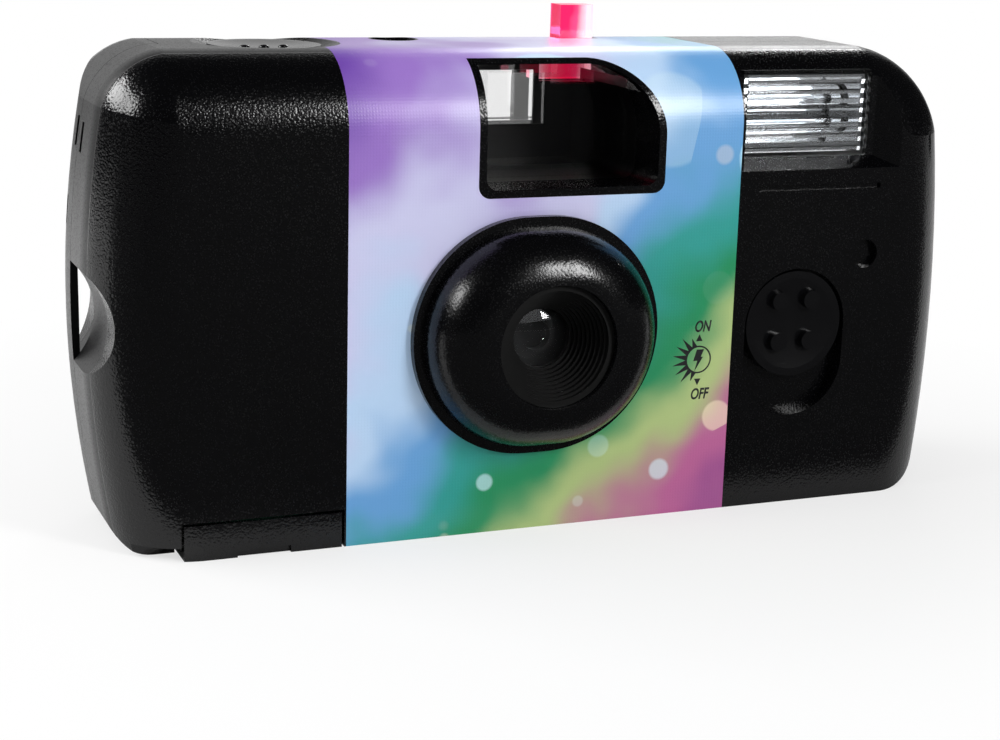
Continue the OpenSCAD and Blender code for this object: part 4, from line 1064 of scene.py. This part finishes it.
@dataclass(frozen=True)
class Lamp:
    """A soft rectangular lamp that faces the camera body."""

    AIM: ClassVar[Triple] = (0.0, 0.0, 0.03)

    name: str
    place: Triple
    size: Pair
    power: float
    glossy: bool = True

    def build(self) -> None:
        """Adds the lamp, seen by gloss only if it says so."""
        light = bpy.data.lights.new(self.name, "AREA")
        light.shape = "RECTANGLE"
        light.size, light.size_y = self.size
        light.energy = self.power
        thing = bpy.data.objects.new(self.name, light)
        thing.location = self.place
        aim = Vector(self.AIM) - Vector(self.place)
        thing.rotation_euler = aim.to_track_quat("-Z", "Y").to_euler()
        thing.visible_glossy = self.glossy
        bpy.context.scene.collection.objects.link(thing)


@dataclass
class Studio:
    """Floor, background, lamps and the camera at the photograph's angle."""

    # The first two stand where the photograph's highlights mirror them; fills stay out of the gloss
    LAMPS: ClassVar[list[Lamp]] = [
        Lamp("right_light", (0.286, -0.49, 0.31), (0.12, 0.25), 2.3),
        Lamp("left_light", (-0.45, 0.21, 0.33), (0.36, 0.2), 2.6),
        Lamp("side_light", (-0.5, -0.06, 0.33), (0.16, 0.16), 1.0),
        Lamp("back_light", (0.36, 0.55, 0.36), (0.2, 0.2), 0.8),
        Lamp("top_fill", (-0.05, -0.15, 0.60), (0.6, 0.6), 0.75, glossy=False),
        Lamp("front_fill", (-0.20, -0.75, 0.15), (0.4, 0.4), 0.85, glossy=False),
    ]
    FLOOR_HALF: ClassVar[float] = 6.0
    FLOOR_MOTTLE: ClassVar[float] = 4.0
    FLOOR_ROUGH: ClassVar[float] = 0.9
    FLOOR_PALE: ClassVar[tuple[Colour, Colour]] = ((0.72, 0.72, 0.72), (0.75, 0.75, 0.75))
    FLAG_DARK: ClassVar[tuple[float, ...]] = (0.07, 0.07, 0.07, 1.0)
    # Backdrop: where gloss sees it turn from dark to bright, both strengths, and the strength otherwise
    BEHIND: ClassVar[Pair] = (0.62, 0.9)
    MIRRORED: ClassVar[Pair] = (0.02, 0.65)
    SOFT: ClassVar[float] = 0.3
    SENSOR_WIDTH: ClassVar[float] = 36.0
    CLIP_START: ClassVar[float] = 0.01

    eye: Triple = (-89.55, -208.8, 72.45)
    azimuth: float = -22.87
    elevation: float = 14.59
    roll: float = 1.72
    lens: float = 71.23
    shift: Pair = (-0.0165, 0.0217)
    shadow_reach: Pair = (0.05, 0.12)
    shadow_fade: Pair = (0.65, 1.0)
    flag_reach: Pair = (0.018, 1.2)
    flag_lift: float = 0.0002

    def build(self) -> None:
        """Builds the whole setting."""
        bpy.context.scene.view_settings.view_transform = "Standard"
        self.floor()
        self.background()
        self.flag()
        for lamp in self.LAMPS:
            lamp.build()
        self.camera()

    def floor(self) -> None:
        """Builds the pale floor."""
        mesh = bmesh.new()
        bmesh.ops.create_grid(mesh, x_segments=1, y_segments=1, size=self.FLOOR_HALF)
        self.sheet("floor", mesh, self.floor_finish())

    def flag(self) -> None:
        """Lays a dark card in front that only gloss and clear pieces see, to keep blacks deep."""
        near, far = self.flag_reach
        mesh = bmesh.new()
        bmesh.ops.create_grid(mesh, x_segments=1, y_segments=1, size=(far - near) / 2)
        bmesh.ops.translate(mesh, verts=mesh.verts, vec=(0.0, -(near + far) / 2, self.flag_lift))
        surface = Surface("flag_dark")
        surface.set("Base Color", self.FLAG_DARK)
        surface.set("Specular IOR Level", 0.0)
        card = self.sheet("flag", mesh, surface.material)
        for kind in ("camera", "diffuse", "shadow"):
            setattr(card, "visible_" + kind, False)

    @staticmethod
    def sheet(name: str, mesh: bmesh.types.BMesh, material: bpy.types.Material) -> bpy.types.Object:
        """Makes a flat piece of the stage.

        Args:
            name: the sheet's name.
            mesh: its shape.
            material: its finish.
        Returns:
            The object.
        """
        data = bpy.data.meshes.new(name)
        mesh.to_mesh(data)
        mesh.free()
        thing = bpy.data.objects.new(name, data)
        bpy.context.scene.collection.objects.link(thing)
        data.materials.append(material)
        return thing

    def floor_finish(self) -> bpy.types.Material:
        """Builds a floor with a shadow near the camera body, plain white to the eye further off.

        Returns:
            The material.
        """
        surface = Surface("floor_white")
        graph = surface.graph
        coords = graph.place()
        surface.set("Base Color", graph.blend(graph.noise(coords, self.FLOOR_MOTTLE), *self.FLOOR_PALE))
        surface.set("Roughness", self.FLOOR_ROUGH)
        surface.set("Specular IOR Level", 0.0)
        away = graph.add("VectorMath", operation="LENGTH")
        graph.join(coords, away.inputs[0])
        fade = graph.span(away.outputs["Value"], *self.shadow_reach, *self.shadow_fade)
        white = graph.add("Emission")
        mixed = graph.add("MixShader")
        rays = graph.add("LightPath").outputs
        seen = graph.math("MAXIMUM", rays[Ray.CAMERA.value], rays[Ray.TRANSMISSION.value])
        graph.join(graph.product(fade, seen), mixed.inputs[0])
        graph.join(surface.shader.outputs[0], mixed.inputs[1])
        graph.join(white.outputs[0], mixed.inputs[2])
        result = surface.material.node_tree.nodes["Material Output"]
        graph.join(mixed.outputs[0], result.inputs["Surface"])
        return surface.material

    def background(self) -> None:
        """Makes the world white to the eye, dark in front and bright behind to gloss, soft otherwise."""
        world = bpy.data.worlds.new("studio")
        bpy.context.scene.world = world
        world.use_nodes = True
        graph = Graph(world.node_tree)
        rays = graph.add("LightPath").outputs
        ahead = graph.axes(graph.add("TexCoord").outputs["Generated"])["Y"]
        behind = graph.span(ahead, *self.BEHIND, *self.MIRRORED)
        seen = graph.math("MAXIMUM", rays[Ray.CAMERA.value], rays[Ray.TRANSMISSION.value])
        mirrored = graph.product(rays[Ray.GLOSSY.value], behind)
        soft = graph.product(graph.math("SUBTRACT", 1.0, rays[Ray.GLOSSY.value]), self.SOFT)
        backdrop = world.node_tree.nodes["Background"]
        strength = graph.math("MAXIMUM", seen, graph.total(mirrored, soft))
        graph.join(strength, backdrop.inputs["Strength"])
        backdrop.inputs["Color"].default_value = (1.0, 1.0, 1.0, 1.0)

    def camera(self) -> None:
        """Places the camera; its eye is in millimetres and its angles are in degrees."""
        az, el, roll = (math.radians(a) for a in (self.azimuth, self.elevation, self.roll))
        back = Vector((math.sin(az) * math.cos(el), -math.cos(az) * math.cos(el), math.sin(el)))
        right = Vector((math.cos(az), math.sin(az), 0.0))
        up = back.cross(right)
        side = math.cos(roll) * right + math.sin(roll) * up
        top = -math.sin(roll) * right + math.cos(roll) * up
        view = bpy.data.cameras.new("view")
        view.sensor_width = self.SENSOR_WIDTH
        view.lens = self.lens
        view.shift_x, view.shift_y = self.shift
        view.clip_start = self.CLIP_START
        thing = bpy.data.objects.new("view", view)
        turn = Matrix((side, top, back)).transposed().to_4x4()
        thing.matrix_world = Matrix.Translation(Vector(self.eye) * MM) @ turn
        bpy.context.scene.collection.objects.link(thing)
        bpy.context.scene.camera = thing


def main() -> None:
    """Dresses the solids, adds the printed pieces and sets the studio up."""
    logging.basicConfig(level=logging.INFO)
    effects = Effects()
    Materials(effects).dress()
    printed = Materials.INK.make(effects)
    SwitchMarks(printed).build()
    DialFigures(printed).build()
    ButtonPips(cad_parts["shutter_button"].data.materials[0]).build()
    Studio().build()


if __name__ == "__main__":
    main()
